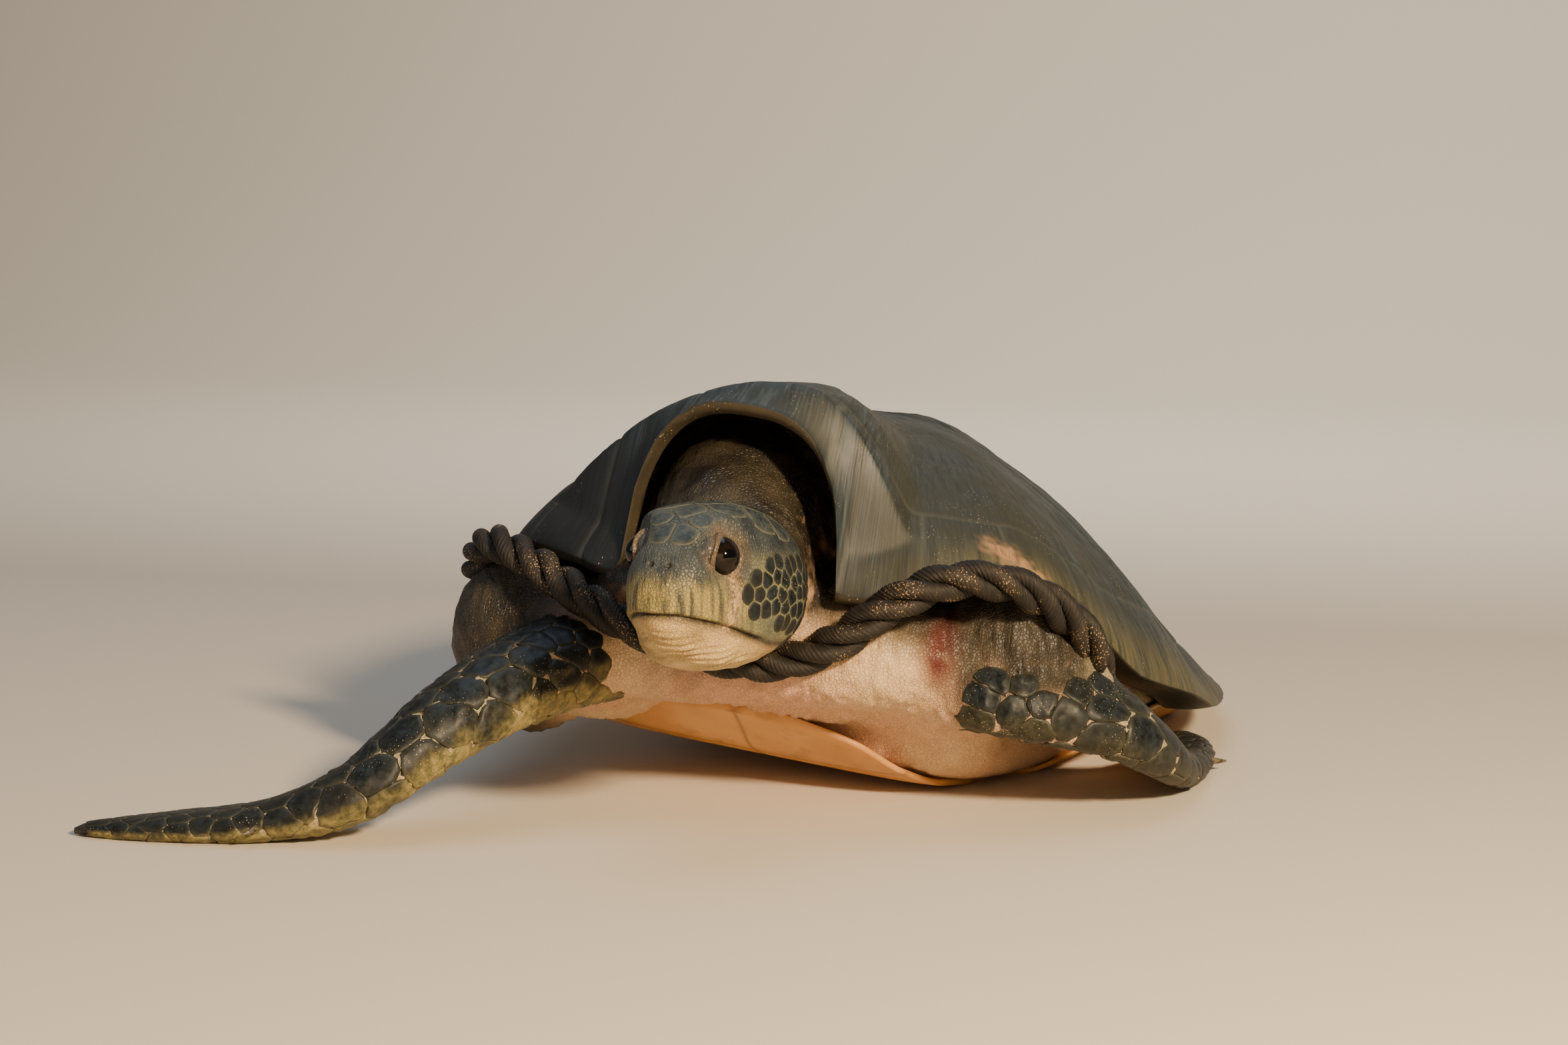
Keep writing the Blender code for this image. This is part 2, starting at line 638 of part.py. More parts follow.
# ---------------------------------------------------------------- putting it together
def level(mesh, reach):
    """Sets every point lower than reach flat on the floor."""
    points = np.empty(len(mesh.vertices) * 3, np.float32)
    mesh.vertices.foreach_get("co", points)
    points = points.reshape(-1, 3)
    points[:, 2] = np.where(points[:, 2] < reach, 0, points[:, 2])
    mesh.vertices.foreach_set("co", points.ravel())
    mesh.update()


def soft_body():
    """Every form of flesh melted into one skin, set down flat on the floor."""
    forms = [
        solid("trunk_form", trunk_rings(), collection=CUTTERS),
        neck(),
        chest(),
        head(),
        shoulder("shoulder_right", -0.262, -0.372, 0.140, (0.080, 0.078, 0.095)),
        shoulder("collar_right", -0.180, -0.385, 0.140, (0.090, 0.085, 0.075)),
        shoulder("shoulder_left", 0.222, -0.360, 0.152, (0.085, 0.080, 0.075)),
        shoulder("collar_left", 0.125, -0.385, 0.145, (0.085, 0.085, 0.062)),
        shoulder("fold_right", -0.112, -0.420, 0.200, (0.062, 0.060, 0.056)),
        shoulder("fold_left", 0.100, -0.415, 0.180, (0.060, 0.062, 0.056)),
    ]
    forms += [flipper(name + "_form", limb) for name, limb in LIMBS.items()]
    t = np.linspace(0, 1, 12)
    fat = curve(t, [0, 0.5, 0.8, 1], [0.040, 0.026, 0.018, 0.006])
    forms.append(loft("tail_form", line_through(TAIL, 12), (1, 0, 0), fat, 0.9 * fat, 0.9 * fat))
    shape = bmesh.new()
    for form in forms:
        shape.from_mesh(form.data)
    mesh = bpy.data.meshes.new("flesh")
    shape.to_mesh(mesh)
    shape.free()
    drop(*forms)
    body = add("flesh", mesh)
    melt = body.modifiers.new("melt", "REMESH")
    melt.mode = "VOXEL"
    melt.voxel_size = VOXEL
    soften = body.modifiers.new("soften", "SMOOTH")
    soften.factor = 0.5
    soften.iterations = 3
    mesh = bpy.data.meshes.new_from_object(
        body.evaluated_get(bpy.context.evaluated_depsgraph_get())
    )
    body.modifiers.clear()
    level(mesh, 0.0)
    body.data = mesh
    thin = body.modifiers.new("thin", "DECIMATE")
    thin.ratio = FLESH_TRIANGLES / (2 * len(mesh.polygons))
    mesh = bpy.data.meshes.new_from_object(
        body.evaluated_get(bpy.context.evaluated_depsgraph_get())
    )
    body.modifiers.clear()
    shape = bmesh.new()
    shape.from_mesh(mesh)
    bmesh.ops.triangulate(shape, faces=shape.faces)
    shape.to_mesh(mesh)
    shape.free()
    level(mesh, 0.0015)
    body.data = mesh
    return body


def hollow_out(body, cutter, solver="EXACT"):
    """Takes a cutter from the body and removes the cutter."""
    carve(body, cutter, solver)
    drop(cutter)


def room_of(piece):
    """Cutter in the shape of a piece, pushed out along its normals by twice GAP."""
    graph = bpy.context.evaluated_depsgraph_get()
    mesh = bpy.data.meshes.new_from_object(piece.evaluated_get(graph))
    shape = bmesh.new()
    shape.from_mesh(mesh)
    bmesh.ops.remove_doubles(shape, verts=shape.verts, dist=1e-6)
    bmesh.ops.triangulate(shape, faces=shape.faces, quad_method="FIXED")
    bmesh.ops.recalc_face_normals(shape, faces=shape.faces)
    shape.normal_update()
    for vert in shape.verts:
        vert.co += vert.normal * 2 * GAP
    shape.to_mesh(mesh)
    shape.free()
    return add("room", mesh, collection=CUTTERS)


def slab(centre, facing, half_width, half_length):
    """Thin oblong cutter, GAP thick, that parts one length of the body from the next."""
    mesh = bpy.data.meshes.new("slab")
    shape = bmesh.new()
    bmesh.ops.create_cube(shape, size=1.0)
    bmesh.ops.scale(shape, verts=shape.verts, vec=(2 * half_width, 2 * half_length, GAP))
    turn = Vector(facing).to_track_quat("Z", "Y").to_matrix()
    bmesh.ops.rotate(shape, verts=shape.verts, matrix=turn)
    bmesh.ops.translate(shape, verts=shape.verts, vec=centre)
    shape.to_mesh(mesh)
    shape.free()
    return add("slab", mesh, collection=CUTTERS)


# Where the body is parted: a point of the cut, the way it faces, half its width and
# half its length.
PARTINGS = [
    ((0.003, -0.522, 0.228), (-0.1, -1.0, 0.14), 0.110, 0.110),
    ((-0.010, -0.437, 0.249), (0.0, -0.755, 0.656), 0.160, 0.215),
    ((-0.196, -0.486, 0.126), (-0.45, -0.85, -0.28), 0.090, 0.090),
    ((0.250, -0.380, 0.130), (0.950, -0.311, 0.0), 0.115, 0.115),
    ((-0.190, 0.412, 0.048), (-0.55, 0.80, -0.25), 0.085, 0.085),
    ((0.152, 0.415, 0.036), (0.18, 0.95, -0.20), 0.085, 0.085),
    ((0.000, 0.450, 0.045), (0.0, 1.0, -0.20), 0.060, 0.060),
]
# A point in each part of the body; a part takes the name of the nearest one.
NAMES = {
    "head": (-0.005, -0.60, 0.232),
    "neck": (-0.010, -0.47, 0.240),
    "trunk": (0.0, 0.0, 0.15),
    "front_flipper_right": (-0.35, -0.66, 0.04),
    "front_flipper_left": (0.36, -0.28, 0.08),
    "hind_flipper_right": (-0.25, 0.50, 0.02),
    "hind_flipper_left": (0.26, 0.50, 0.02),
    "tail": (0.0, 0.51, 0.03),
}


def bodies_of(mesh):
    """Splits a mesh into its separate closed bodies, each as a new bmesh."""
    count = len(mesh.vertices)
    ends = np.empty(len(mesh.edges) * 2, np.int32)
    mesh.edges.foreach_get("vertices", ends)
    ends = ends.reshape(-1, 2)
    label = np.arange(count)
    while True:
        low = np.minimum(label[ends[:, 0]], label[ends[:, 1]])
        new = label.copy()
        np.minimum.at(new, ends[:, 0], low)
        np.minimum.at(new, ends[:, 1], low)
        new = new[new]
        if (new == label).all():
            break
        label = new
    made = []
    for body in np.unique(label):
        shape = bmesh.new()
        shape.from_mesh(mesh)
        shape.verts.ensure_lookup_table()
        others = [shape.verts[i] for i in np.flatnonzero(label != body)]
        bmesh.ops.delete(shape, geom=others, context="VERTS")
        made.append(shape)
    return made


def part_body(body):
    """Cuts the flesh into its named parts and drops crumbs that the cuts leave."""
    for parting in PARTINGS:
        hollow_out(body, slab(*parting), "MANIFOLD")
    largest = {}
    for shape in bodies_of(body.data):
        volume = abs(shape.calc_volume())
        if volume < SMALLEST_PIECE:
            shape.free()
            continue
        middle = np.mean([v.co for v in shape.verts], axis=0)
        name = min(NAMES, key=lambda n: np.linalg.norm(middle - np.array(NAMES[n])))
        if volume > largest.get(name, (0, None))[0]:
            largest[name] = (volume, shape)
    drop(body)
    for name, (_, shape) in largest.items():
        bmesh.ops.triangulate(shape, faces=shape.faces)
        mesh = bpy.data.meshes.new(name)
        shape.to_mesh(mesh)
        shape.free()
        mesh.shade_smooth()
        add(name, mesh, SKIN)


def largest_body(target):
    """Keeps the largest closed body of an object."""
    shapes = bodies_of(target.data)
    largest = max(shapes, key=lambda one: abs(one.calc_volume()))
    bmesh.ops.triangulate(largest, faces=largest.faces)
    largest.to_mesh(target.data)
    for shape in shapes:
        shape.free()


def assemble():
    carapace = solid("carapace", carapace_rings(), SHELL)
    plastron = solid("plastron", plastron_rings(), PALE_PLATE)
    hollow_out(plastron, room_of(carapace))
    largest_body(plastron)
    hard = [carapace, plastron, rope()]
    for side, sign in (("left", 1), ("right", -1)):
        a, b, c = EYE_PLACE
        hard.append(ball(f"eye_{side}", head_to_world((a, sign * b, c)), EYE_RADIUS, EYE))
    for limb_name, limb in LIMBS.items():
        hard.append(claw(limb_name.replace("flipper", "claw"), limb))
    flesh = soft_body()
    for piece in hard:
        hollow_out(flesh, room_of(piece), "MANIFOLD")
    part_body(flesh)
    for piece in TURTLE.objects:
        piece.data.transform(Matrix.Translation((-ORIGIN[0], -ORIGIN[1], 0)))


assemble()
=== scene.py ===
import math

import bmesh
import bpy
import numpy as np
from mathutils import Matrix, Vector


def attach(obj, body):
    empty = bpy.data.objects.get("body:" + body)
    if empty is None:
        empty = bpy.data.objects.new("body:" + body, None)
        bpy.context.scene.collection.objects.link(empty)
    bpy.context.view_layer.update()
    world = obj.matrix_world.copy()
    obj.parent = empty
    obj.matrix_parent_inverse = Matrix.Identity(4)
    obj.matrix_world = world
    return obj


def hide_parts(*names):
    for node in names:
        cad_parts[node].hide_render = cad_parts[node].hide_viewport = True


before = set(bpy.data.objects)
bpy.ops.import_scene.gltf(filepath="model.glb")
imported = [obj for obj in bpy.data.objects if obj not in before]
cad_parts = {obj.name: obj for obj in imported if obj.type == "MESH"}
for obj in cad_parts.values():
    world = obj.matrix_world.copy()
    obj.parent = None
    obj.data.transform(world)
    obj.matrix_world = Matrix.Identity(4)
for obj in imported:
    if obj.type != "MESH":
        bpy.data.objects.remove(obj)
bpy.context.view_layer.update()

# ---------------------------------------------------------------- camera
# A long lens held low in front of the turtle and a little to its left. The turtle
# stands right of the middle and below it, so the picture has room over the shell.
MIDDLE = np.array([0.0905, 0.082, 0.0])
VIEW_TURN = math.radians(17.0)
VIEW_TILT = math.radians(7.5)
VIEW_DISTANCE = 3.8
LEFT_OF_SHELL = 0.110
ABOVE_SHELL = 0.216
LENS_MM = 81.4
SENSOR_MM = 36.0


def placed(name, data):
    """A new object in the scene."""
    made = bpy.data.objects.new(name, data)
    bpy.context.scene.collection.objects.link(made)
    return made


across = Vector((math.cos(VIEW_TURN), math.sin(VIEW_TURN), 0))
back = Vector((math.sin(VIEW_TURN), -math.cos(VIEW_TURN), 0)) * math.cos(VIEW_TILT)
back.z = math.sin(VIEW_TILT)
over = back.cross(across)
lens = bpy.data.cameras.new("camera")
lens.lens = LENS_MM
lens.sensor_width = SENSOR_MM
camera = placed("camera", lens)
camera.matrix_world = Matrix((across, over, back)).transposed().to_4x4()
camera.location = Vector(MIDDLE) - across * LEFT_OF_SHELL + over * ABOVE_SHELL + back * VIEW_DISTANCE
bpy.context.scene.camera = camera


# ---------------------------------------------------------------- carapace
# The bony dome under thin plates of keratin. Each plate grew at its edges, so the horn
# is streaked outwards from its middle; wet, sanded by the beach, and worn at the rim.
SHELL_LENGTH = 1.00
SHELL_WIDTH = 0.737
SHELL_HEIGHT = 0.2845
SHELL_WALL = 0.012
BELLY = -0.044
CROWN_Y = -0.12
CROWN_ROUND = 0.22
HOOD_HALF_WIDTH = 0.110
HOOD_LOW = 0.125
HOOD_TOP = 0.292
YAW = math.radians(-5.0)
PITCH = math.radians(5.5)
ROLL = math.radians(6.5)
LIFT = 0.055
RIM_DEGREES = [-180, -150, -120, -90, -75, -60, -47, -34, -22, -12]
RIM_DEGREES += [0, 12, 22, 34, 47, 60, 75, 90, 120, 150, 180]
RIM_HEIGHT = [0.082, 0.059, 0.037, 0.037, 0.054, 0.064, 0.080, 0.121, 0.119, 0.112]
RIM_HEIGHT += [0.128, 0.130, 0.157, 0.162, 0.128, 0.080, 0.058, 0.035, 0.036, 0.061, 0.082]
BLUNT_DEGREES = [0, 20, 45, 70, 90, 130, 155, 180]
BLUNT_PLAN = [3.0, 1.95, 1.66, 1.41, 1.24, 1.22, 1.42, 1.70]
BLUNT_RISE = [2.1, 1.44, 1.36, 1.32, 1.06, 0.86, 1.00, 1.25]
CORNER_LEFT = 0.705
CORNER_RIGHT = 0.88
MARGIN_DEGREES = [0, 25, 50, 75, 150, 180]
MARGIN_DEPTH = [0.000, 0.004, 0.022, 0.045, 0.045, 0.030]
made_pieces = []


def linear(code):
    """The scene-linear colour of an sRGB hex code."""
    srgb = np.array([int(code[i : i + 2], 16) for i in (1, 3, 5)]) / 255
    value = np.where(srgb <= 0.04045, srgb / 12.92, ((srgb + 0.055) / 1.055) ** 2.4)
    return (*value, 1.0)


def node(tree, kind, inputs=(), output=0, **settings):
    """Adds a node; inputs maps its sockets to a value or to another node's output."""
    made = tree.nodes.new(kind)
    for key, value in settings.items():
        setattr(made, key, value)
    for key, value in dict(inputs).items():
        if isinstance(value, bpy.types.NodeSocket):
            tree.links.new(value, made.inputs[key])
        else:
            made.inputs[key].default_value = value
    return made.outputs[output]


def finish(name, *marks):
    """A new material with its nodes, the place on the object and the marks it reads."""
    made = bpy.data.materials.new(name)
    made.use_nodes = True
    tree = made.node_tree
    spot = node(tree, "ShaderNodeTexCoord", output="Object")
    read = {key: node(tree, "ShaderNodeAttribute", output="Fac", attribute_name=key) for key in marks}
    return made, tree, spot, read


def masked(tree, share, *masks):
    """A share times its masks: marks, or patterns with where each begins and is full."""
    for mask in masks:
        if isinstance(mask, tuple):
            source, begin, full = mask
            mask = node(tree, "ShaderNodeMapRange", {0: source, 1: begin, 2: full})
        share = node(tree, "ShaderNodeMath", {0: mask, 1: share}, operation="MULTIPLY")
    return share


def layered(tree, colour, *layers):
    """Colours laid one over another; a layer is its colour, its share and its masks."""
    colour = linear(colour) if isinstance(colour, str) else colour
    for shade, share, *masks in layers:
        shade = linear(shade) if isinstance(shade, str) else shade
        part = masked(tree, share, *masks)
        colour = node(tree, "ShaderNodeMix", {0: part, 6: colour, 7: shade}, 2, data_type="RGBA")
    return colour


def dressed(tree, colour, roughness, height=None, strength=0.0, depth=0.0):
    """Gives the shader its colour, its roughness and, from a height, its relief."""
    shader = tree.nodes["Principled BSDF"]
    tree.links.new(colour, shader.inputs["Base Color"])
    if isinstance(roughness, tuple):
        source, smooth, rough = roughness
        gloss = node(tree, "ShaderNodeMapRange", {0: source, 1: 0.3, 2: 0.7, 3: smooth, 4: rough})
        tree.links.new(gloss, shader.inputs["Roughness"])
    else:
        shader.inputs["Roughness"].default_value = roughness
    if height is not None:
        levels = {"Height": height, "Strength": strength, "Distance": depth}
        tree.links.new(node(tree, "ShaderNodeBump", levels), shader.inputs["Normal"])
    return shader


def curve(x, stations, values):
    """Cubic curve through the stations that never overshoots between two of them."""
    stations = np.asarray(stations, float)
    values = np.asarray(values, float)
    gap = np.diff(stations)
    slope = np.diff(values) / gap
    tangent = np.empty_like(values)
    tangent[0] = slope[0]
    tangent[-1] = slope[-1]
    total = slope[:-1] + slope[1:]
    harmonic = 2 * slope[:-1] * slope[1:] / np.where(total == 0, 1, total)
    tangent[1:-1] = np.where(slope[:-1] * slope[1:] > 0, harmonic, 0)
    at = np.clip(np.asarray(x, float), stations[0], stations[-1])
    i = np.clip(np.searchsorted(stations, at) - 1, 0, len(gap) - 1)
    s = (at - stations[i]) / gap[i]
    rise = values[i] * (1 + 2 * s) * (1 - s) ** 2 + values[i + 1] * s * s * (3 - 2 * s)
    lean = tangent[i] * s * (1 - s) ** 2 + tangent[i + 1] * s * s * (s - 1)
    return rise + gap[i] * lean


def unit(v):
    return v / np.linalg.norm(v, axis=-1, keepdims=True)


def walked(points):
    """Metres walked along a line of points, from 0 at its start."""
    return np.concatenate([[0], np.cumsum(np.linalg.norm(np.diff(points, axis=0), axis=1))])


def circle(count):
    """Even angles once round."""
    return np.linspace(0, 2 * math.pi, count, endpoint=False)


def bell(x, width):
    """1 at 0, falling away on both sides over a width."""
    return np.exp(-((x / width) ** 2))


def smooth_step(x, low, high):
    """0 below low, 1 above high, with level ends."""
    t = np.clip((np.asarray(x, float) - low) / (high - low), 0, 1)
    return t * t * (3 - 2 * t)


def ripple(points, size, seed, waves=14):
    """Smooth noise from -1 to 1: sines of random direction with a wave of about size."""
    chance = np.random.default_rng(seed)
    way = unit(chance.normal(size=(waves, 3))) * 2 * math.pi / size
    way = way * chance.uniform(0.6, 1.6, (waves, 1))
    phase = chance.uniform(0, 2 * math.pi, waves)
    return np.sin(points @ way.T + phase).mean(axis=-1) * math.sqrt(waves) * 0.8


def closed_grid(rows, around, start=0):
    """Quads of a grid that closes round on itself, and the two end caps."""
    index = start + np.arange(rows * around).reshape(rows, around)
    here = index[:-1]
    there = index[1:]
    quads = np.stack([here, np.roll(here, -1, 1), np.roll(there, -1, 1), there], axis=-1)
    return quads.reshape(-1, 4).tolist() + [index[0][::-1].tolist(), index[-1].tolist()]


def piece(name, points, faces, marks=()):
    """Mesh object from points and faces, normals outwards, with its named marks."""
    mesh = bpy.data.meshes.new(name)
    mesh.from_pydata(points.reshape(-1, 3).tolist(), [], faces)
    for key, value in dict(marks).items():
        mark = mesh.attributes.new(key, "FLOAT", "POINT")
        mark.data.foreach_set("value", np.asarray(value, np.float32).ravel())
    shape = bmesh.new()
    shape.from_mesh(mesh)
    bmesh.ops.recalc_face_normals(shape, faces=shape.faces)
    shape.to_mesh(mesh)
    shape.free()
    mesh.shade_smooth()
    made = placed(name, mesh)
    made_pieces.append(made)
    return made


def tipped(points):
    """Shell frame to rest: left side down, nose up, turned a little, raised by LIFT."""
    x, y, z = np.moveaxis(np.asarray(points, float), -1, 0)
    across = x * math.cos(ROLL) + z * math.sin(ROLL)
    high = z * math.cos(ROLL) - x * math.sin(ROLL)
    back = y * math.cos(PITCH) + high * math.sin(PITCH)
    up = high * math.cos(PITCH) - y * math.sin(PITCH) + LIFT
    left = across * math.cos(YAW) - back * math.sin(YAW)
    back = across * math.sin(YAW) + back * math.cos(YAW)
    return np.stack([left, back, up], axis=-1)


def rim(phi):
    """Outline of the carapace seen from above; phi is 0 at the nose, pi at the tail."""
    corner = np.where(phi < 0, CORNER_RIGHT, CORNER_LEFT)
    blunt = 1 + (corner - 1) * np.clip(1 - np.abs(phi) / (0.5 * math.pi), 0, 1)
    s = np.sin(phi)
    wide = np.sign(s) * np.abs(s) ** blunt * (1 + 0.19 * np.cos(phi)) / 1.015
    return 0.5 * SHELL_WIDTH * wide, -0.5 * SHELL_LENGTH * np.cos(phi)


def hood(x):
    """Height of the arch over the neck: a squarish half round, low at its feet."""
    inside = np.clip(1 - np.abs(x / HOOD_HALF_WIDTH) ** 2.6, 0, 1)
    return HOOD_LOW + (HOOD_TOP - HOOD_LOW) * inside ** (1 / 2.6)


def ridge(x):
    """Crest behind the arch: highest left of the middle and steeper on that side."""
    fall = np.where(x < 0.04, 2.2, 8.9)
    return HOOD_TOP + 0.024 - fall * (x - 0.04) ** 2


def dome(phi, alpha, inset=0.0):
    """Carapace surface: alpha runs from 0 at the crown to pi/2 at the rim."""
    degrees = np.abs(np.degrees(phi))
    plan = curve(degrees, BLUNT_DEGREES, BLUNT_PLAN)
    rise = curve(degrees, BLUNT_DEGREES, BLUNT_RISE)
    low = curve(np.degrees(phi), RIM_DEGREES, RIM_HEIGHT)
    out = np.sin(alpha) ** (2 / plan)
    away = np.sqrt(out**2 + CROWN_ROUND**2) - CROWN_ROUND
    away = away / (math.sqrt(1 + CROWN_ROUND**2) - CROWN_ROUND)
    high = np.clip(1 - away**plan, 0, 1) ** (1 / rise)
    edge_x, edge_y = rim(phi)
    x = out * edge_x
    y = CROWN_Y + out * (edge_y - CROWN_Y)
    z = low + (SHELL_HEIGHT - low) * high
    t = smooth_step(1 - out, 0, 0.08)
    beside = np.maximum(np.abs(x) - HOOD_HALF_WIDTH, 0)
    arch = (hood(x) - 3.0 * beside) * (1 - t) + t * ridge(x)
    arch = arch - 0.25 * np.clip(y + 0.40, 0, 0.20) - 1.2 * np.clip(y + 0.20, 0, 1)
    soft = 0.012
    z = 0.5 * (z + arch + np.sqrt((z - arch) ** 2 + soft**2)) - 0.25 * soft
    scale = 1 - inset / (0.5 * SHELL_WIDTH)
    return np.stack([x * scale, CROWN_Y + (y - CROWN_Y) * scale, z - inset], axis=-1)


VERTEBRAL_Y = [-0.43, -0.26, -0.09, 0.09, 0.25, 0.39]
COSTAL_Y = [-0.175, 0.0, 0.17, 0.32]
ZIGZAG_Y = [-0.43, -0.26, -0.175, -0.09, 0.0, 0.09, 0.17, 0.25, 0.32, 0.39]
ZIGZAG_HALF = [0.060, 0.088, 0.118, 0.086, 0.120, 0.084, 0.112, 0.076, 0.092, 0.050]
MARGINAL_RING = 0.86
MARGINALS = 27


def seam_distance(x, y, out, phi):
    """Metres from the nearest seam between plates, measured on the plan of the shell."""
    half = np.interp(y, ZIGZAG_Y, ZIGZAG_HALF)
    beside = np.abs(x) - half
    inner = out < MARGINAL_RING
    far = np.full(x.shape, 0.1)
    apart = np.where(inner, np.abs(beside) * 0.85, far)
    for station in VERTEBRAL_Y:
        apart = np.where(inner & (beside < 0), np.minimum(apart, np.abs(y - station)), apart)
    for station in COSTAL_Y:
        run = station + (np.abs(x) - 0.118) * (0.25 + 1.1 * station)
        apart = np.where(inner & (beside > 0), np.minimum(apart, np.abs(y - run)), apart)
    apart = np.minimum(apart, np.abs(out - MARGINAL_RING) * 0.42)
    step = 2 * math.pi / MARGINALS
    turn = np.abs((phi / step) % 1.0 - 0.5) * step * 0.42 * out
    return np.where(inner, apart, np.minimum(apart, turn))


AROUND = 540
ROWS = 132
phi = np.linspace(-math.pi, math.pi, AROUND, endpoint=False)[None]
alpha = (0.5 * math.pi) * np.linspace(0.018, 1, ROWS)[:, None] ** 0.92
outer = dome(phi + 0 * alpha, alpha + 0 * phi)
plan = curve(np.abs(np.degrees(phi)), BLUNT_DEGREES, BLUNT_PLAN)
out = np.sin(alpha) ** (2 / plan)
seam = seam_distance(outer[..., 0], outer[..., 1], out, phi + 0 * alpha)
facing = unit(np.cross(np.gradient(outer, axis=1), np.gradient(outer, axis=0)))
facing = facing * np.where(facing[..., 2:3] < 0, -1, 1)
groove = bell(seam, 0.0016) * smooth_step(out, 0.05, 0.12)
worn = ripple(outer, 0.11, 4) + 0.5 * ripple(outer, 0.035, 5)
relief = -0.0011 * groove - 0.0009 * np.exp(-seam / 0.010) + 0.0006 * worn
streak = np.sin(phi * 150 + 2.2 * ripple(outer, 0.06, 6)) * ripple(outer, 0.05, 7)
relief = relief + 0.00035 * streak
outer = outer + facing * relief[..., None]
inner = dome(phi + 0 * alpha[::8], alpha[::8] + 0 * phi, SHELL_WALL)
wedge = curve(np.abs(np.degrees(phi)), MARGIN_DEGREES, MARGIN_DEPTH)
rim_x, rim_y = rim(phi)
inward = -unit(np.stack([rim_x, rim_y, 0 * rim_x], axis=-1))
near = np.clip((alpha[::8] - 1.1) / (math.pi / 2 - 1.1), 0, 1) ** 2
inner = inner + inward * (wedge * near)[..., None]
around_lip = np.linspace(0.12, 0.88, 7)[:, None, None]
lip = outer[-1:] * (1 - around_lip) + inner[-1:] * around_lip
lip_way = unit(-inward + 0.6 * np.array([0, 0, -1.0]))
lip = lip + lip_way * 0.3 * SHELL_WALL * np.sin(math.pi * around_lip)
shell_points = np.concatenate([outer, lip, inner[::-1]])
rows = len(shell_points)
rest = rows - ROWS


def over_shell(values, below):
    """Marks of the outer face, carried on with one value over the rim and inside."""
    return np.concatenate([values, np.full((rest, AROUND), below)])


left_of = smooth_step(outer[..., 0], -0.02, 0.10)
# Painted shade: the front of the shell on its right side is darkened in colour, and sand sticks more there;
# over the rim and inside, the mark is 0.6, so the lip is painted in shade too.
shaded_front_band = smooth_step(-outer[..., 1], 0.20, 0.34) * (1 - left_of)
shaded_front_band = shaded_front_band * smooth_step(0.250 - outer[..., 2], 0.0, 0.05)
low_edge = smooth_step(out, 0.90, 1.0) * smooth_step(-outer[..., 1], -0.42, 0.10)
low_edge = low_edge * smooth_step(outer[..., 0], 0.13, 0.24)
front_plates = smooth_step(-outer[..., 1], 0.16, 0.30) * left_of
# An old ragged wound over the left shoulder: a soft line between two places.
SCAR_FROM = np.array([0.213, -0.410, 0.254])
SCAR_TO = np.array([0.258, -0.398, 0.221])
on_shell = tipped(outer)
scar_way = SCAR_TO - SCAR_FROM
scar_part = np.clip((on_shell - SCAR_FROM) @ scar_way / (scar_way @ scar_way), 0, 1)
off_scar = np.linalg.norm(on_shell - SCAR_FROM - scar_part[..., None] * scar_way, axis=-1)
scar = bell(off_scar, 0.009 + 0.004 * ripple(outer, 0.012, 9))
carapace = piece(
    "carapace_horn_plates",
    tipped(shell_points),
    closed_grid(rows, AROUND),
    {
        "seam": over_shell(groove, 0.0),
        "front_shade_and_sand": over_shell(shaded_front_band, 0.6),
        "pale_edge": over_shell(low_edge * left_of, 0.0),
        "front_plates": over_shell(front_plates, 0.0),
        "scar": over_shell(scar, 0.0),
        "inside": over_shell(0 * out, 1.0),
        "streak_x": over_shell(phi * 0.36 + 0 * out, 0.0),
        "streak_y": over_shell(out * 0.5, 0.5),
    },
)

# Damp keratin: soft broad shine, glossier where wet, dull where sand sticks.
MARKS = ("seam", "front_shade_and_sand", "pale_edge", "front_plates", "scar", "inside", "streak_x", "streak_y")
horn, tree, spot, marks = finish("damp_streaked_keratin", *MARKS)
streak_place = node(tree, "ShaderNodeCombineXYZ", {"X": marks["streak_x"], "Y": marks["streak_y"]})
# Growth streaks about 7 mm across and 60 mm long, and scratches under 2 mm across.
long_place = node(tree, "ShaderNodeMapping", {"Vector": streak_place, "Scale": (140.0, 14.0, 1.0)})
growth = {"Vector": long_place, "Scale": 1.0, "Detail": 4.0, "Roughness": 0.62, "Distortion": 0.5}
streaks = node(tree, "ShaderNodeTexNoise", growth)
fine_place = node(tree, "ShaderNodeMapping", {"Vector": streak_place, "Scale": (620.0, 40.0, 1.0)})
scratches = node(tree, "ShaderNodeTexNoise", {"Vector": fine_place, "Scale": 1.0, "Detail": 3.0})
cloudy = {"Vector": spot, "Scale": 9.0, "Detail": 5.0, "Roughness": 0.6}
clouds = node(tree, "ShaderNodeTexNoise", cloudy)
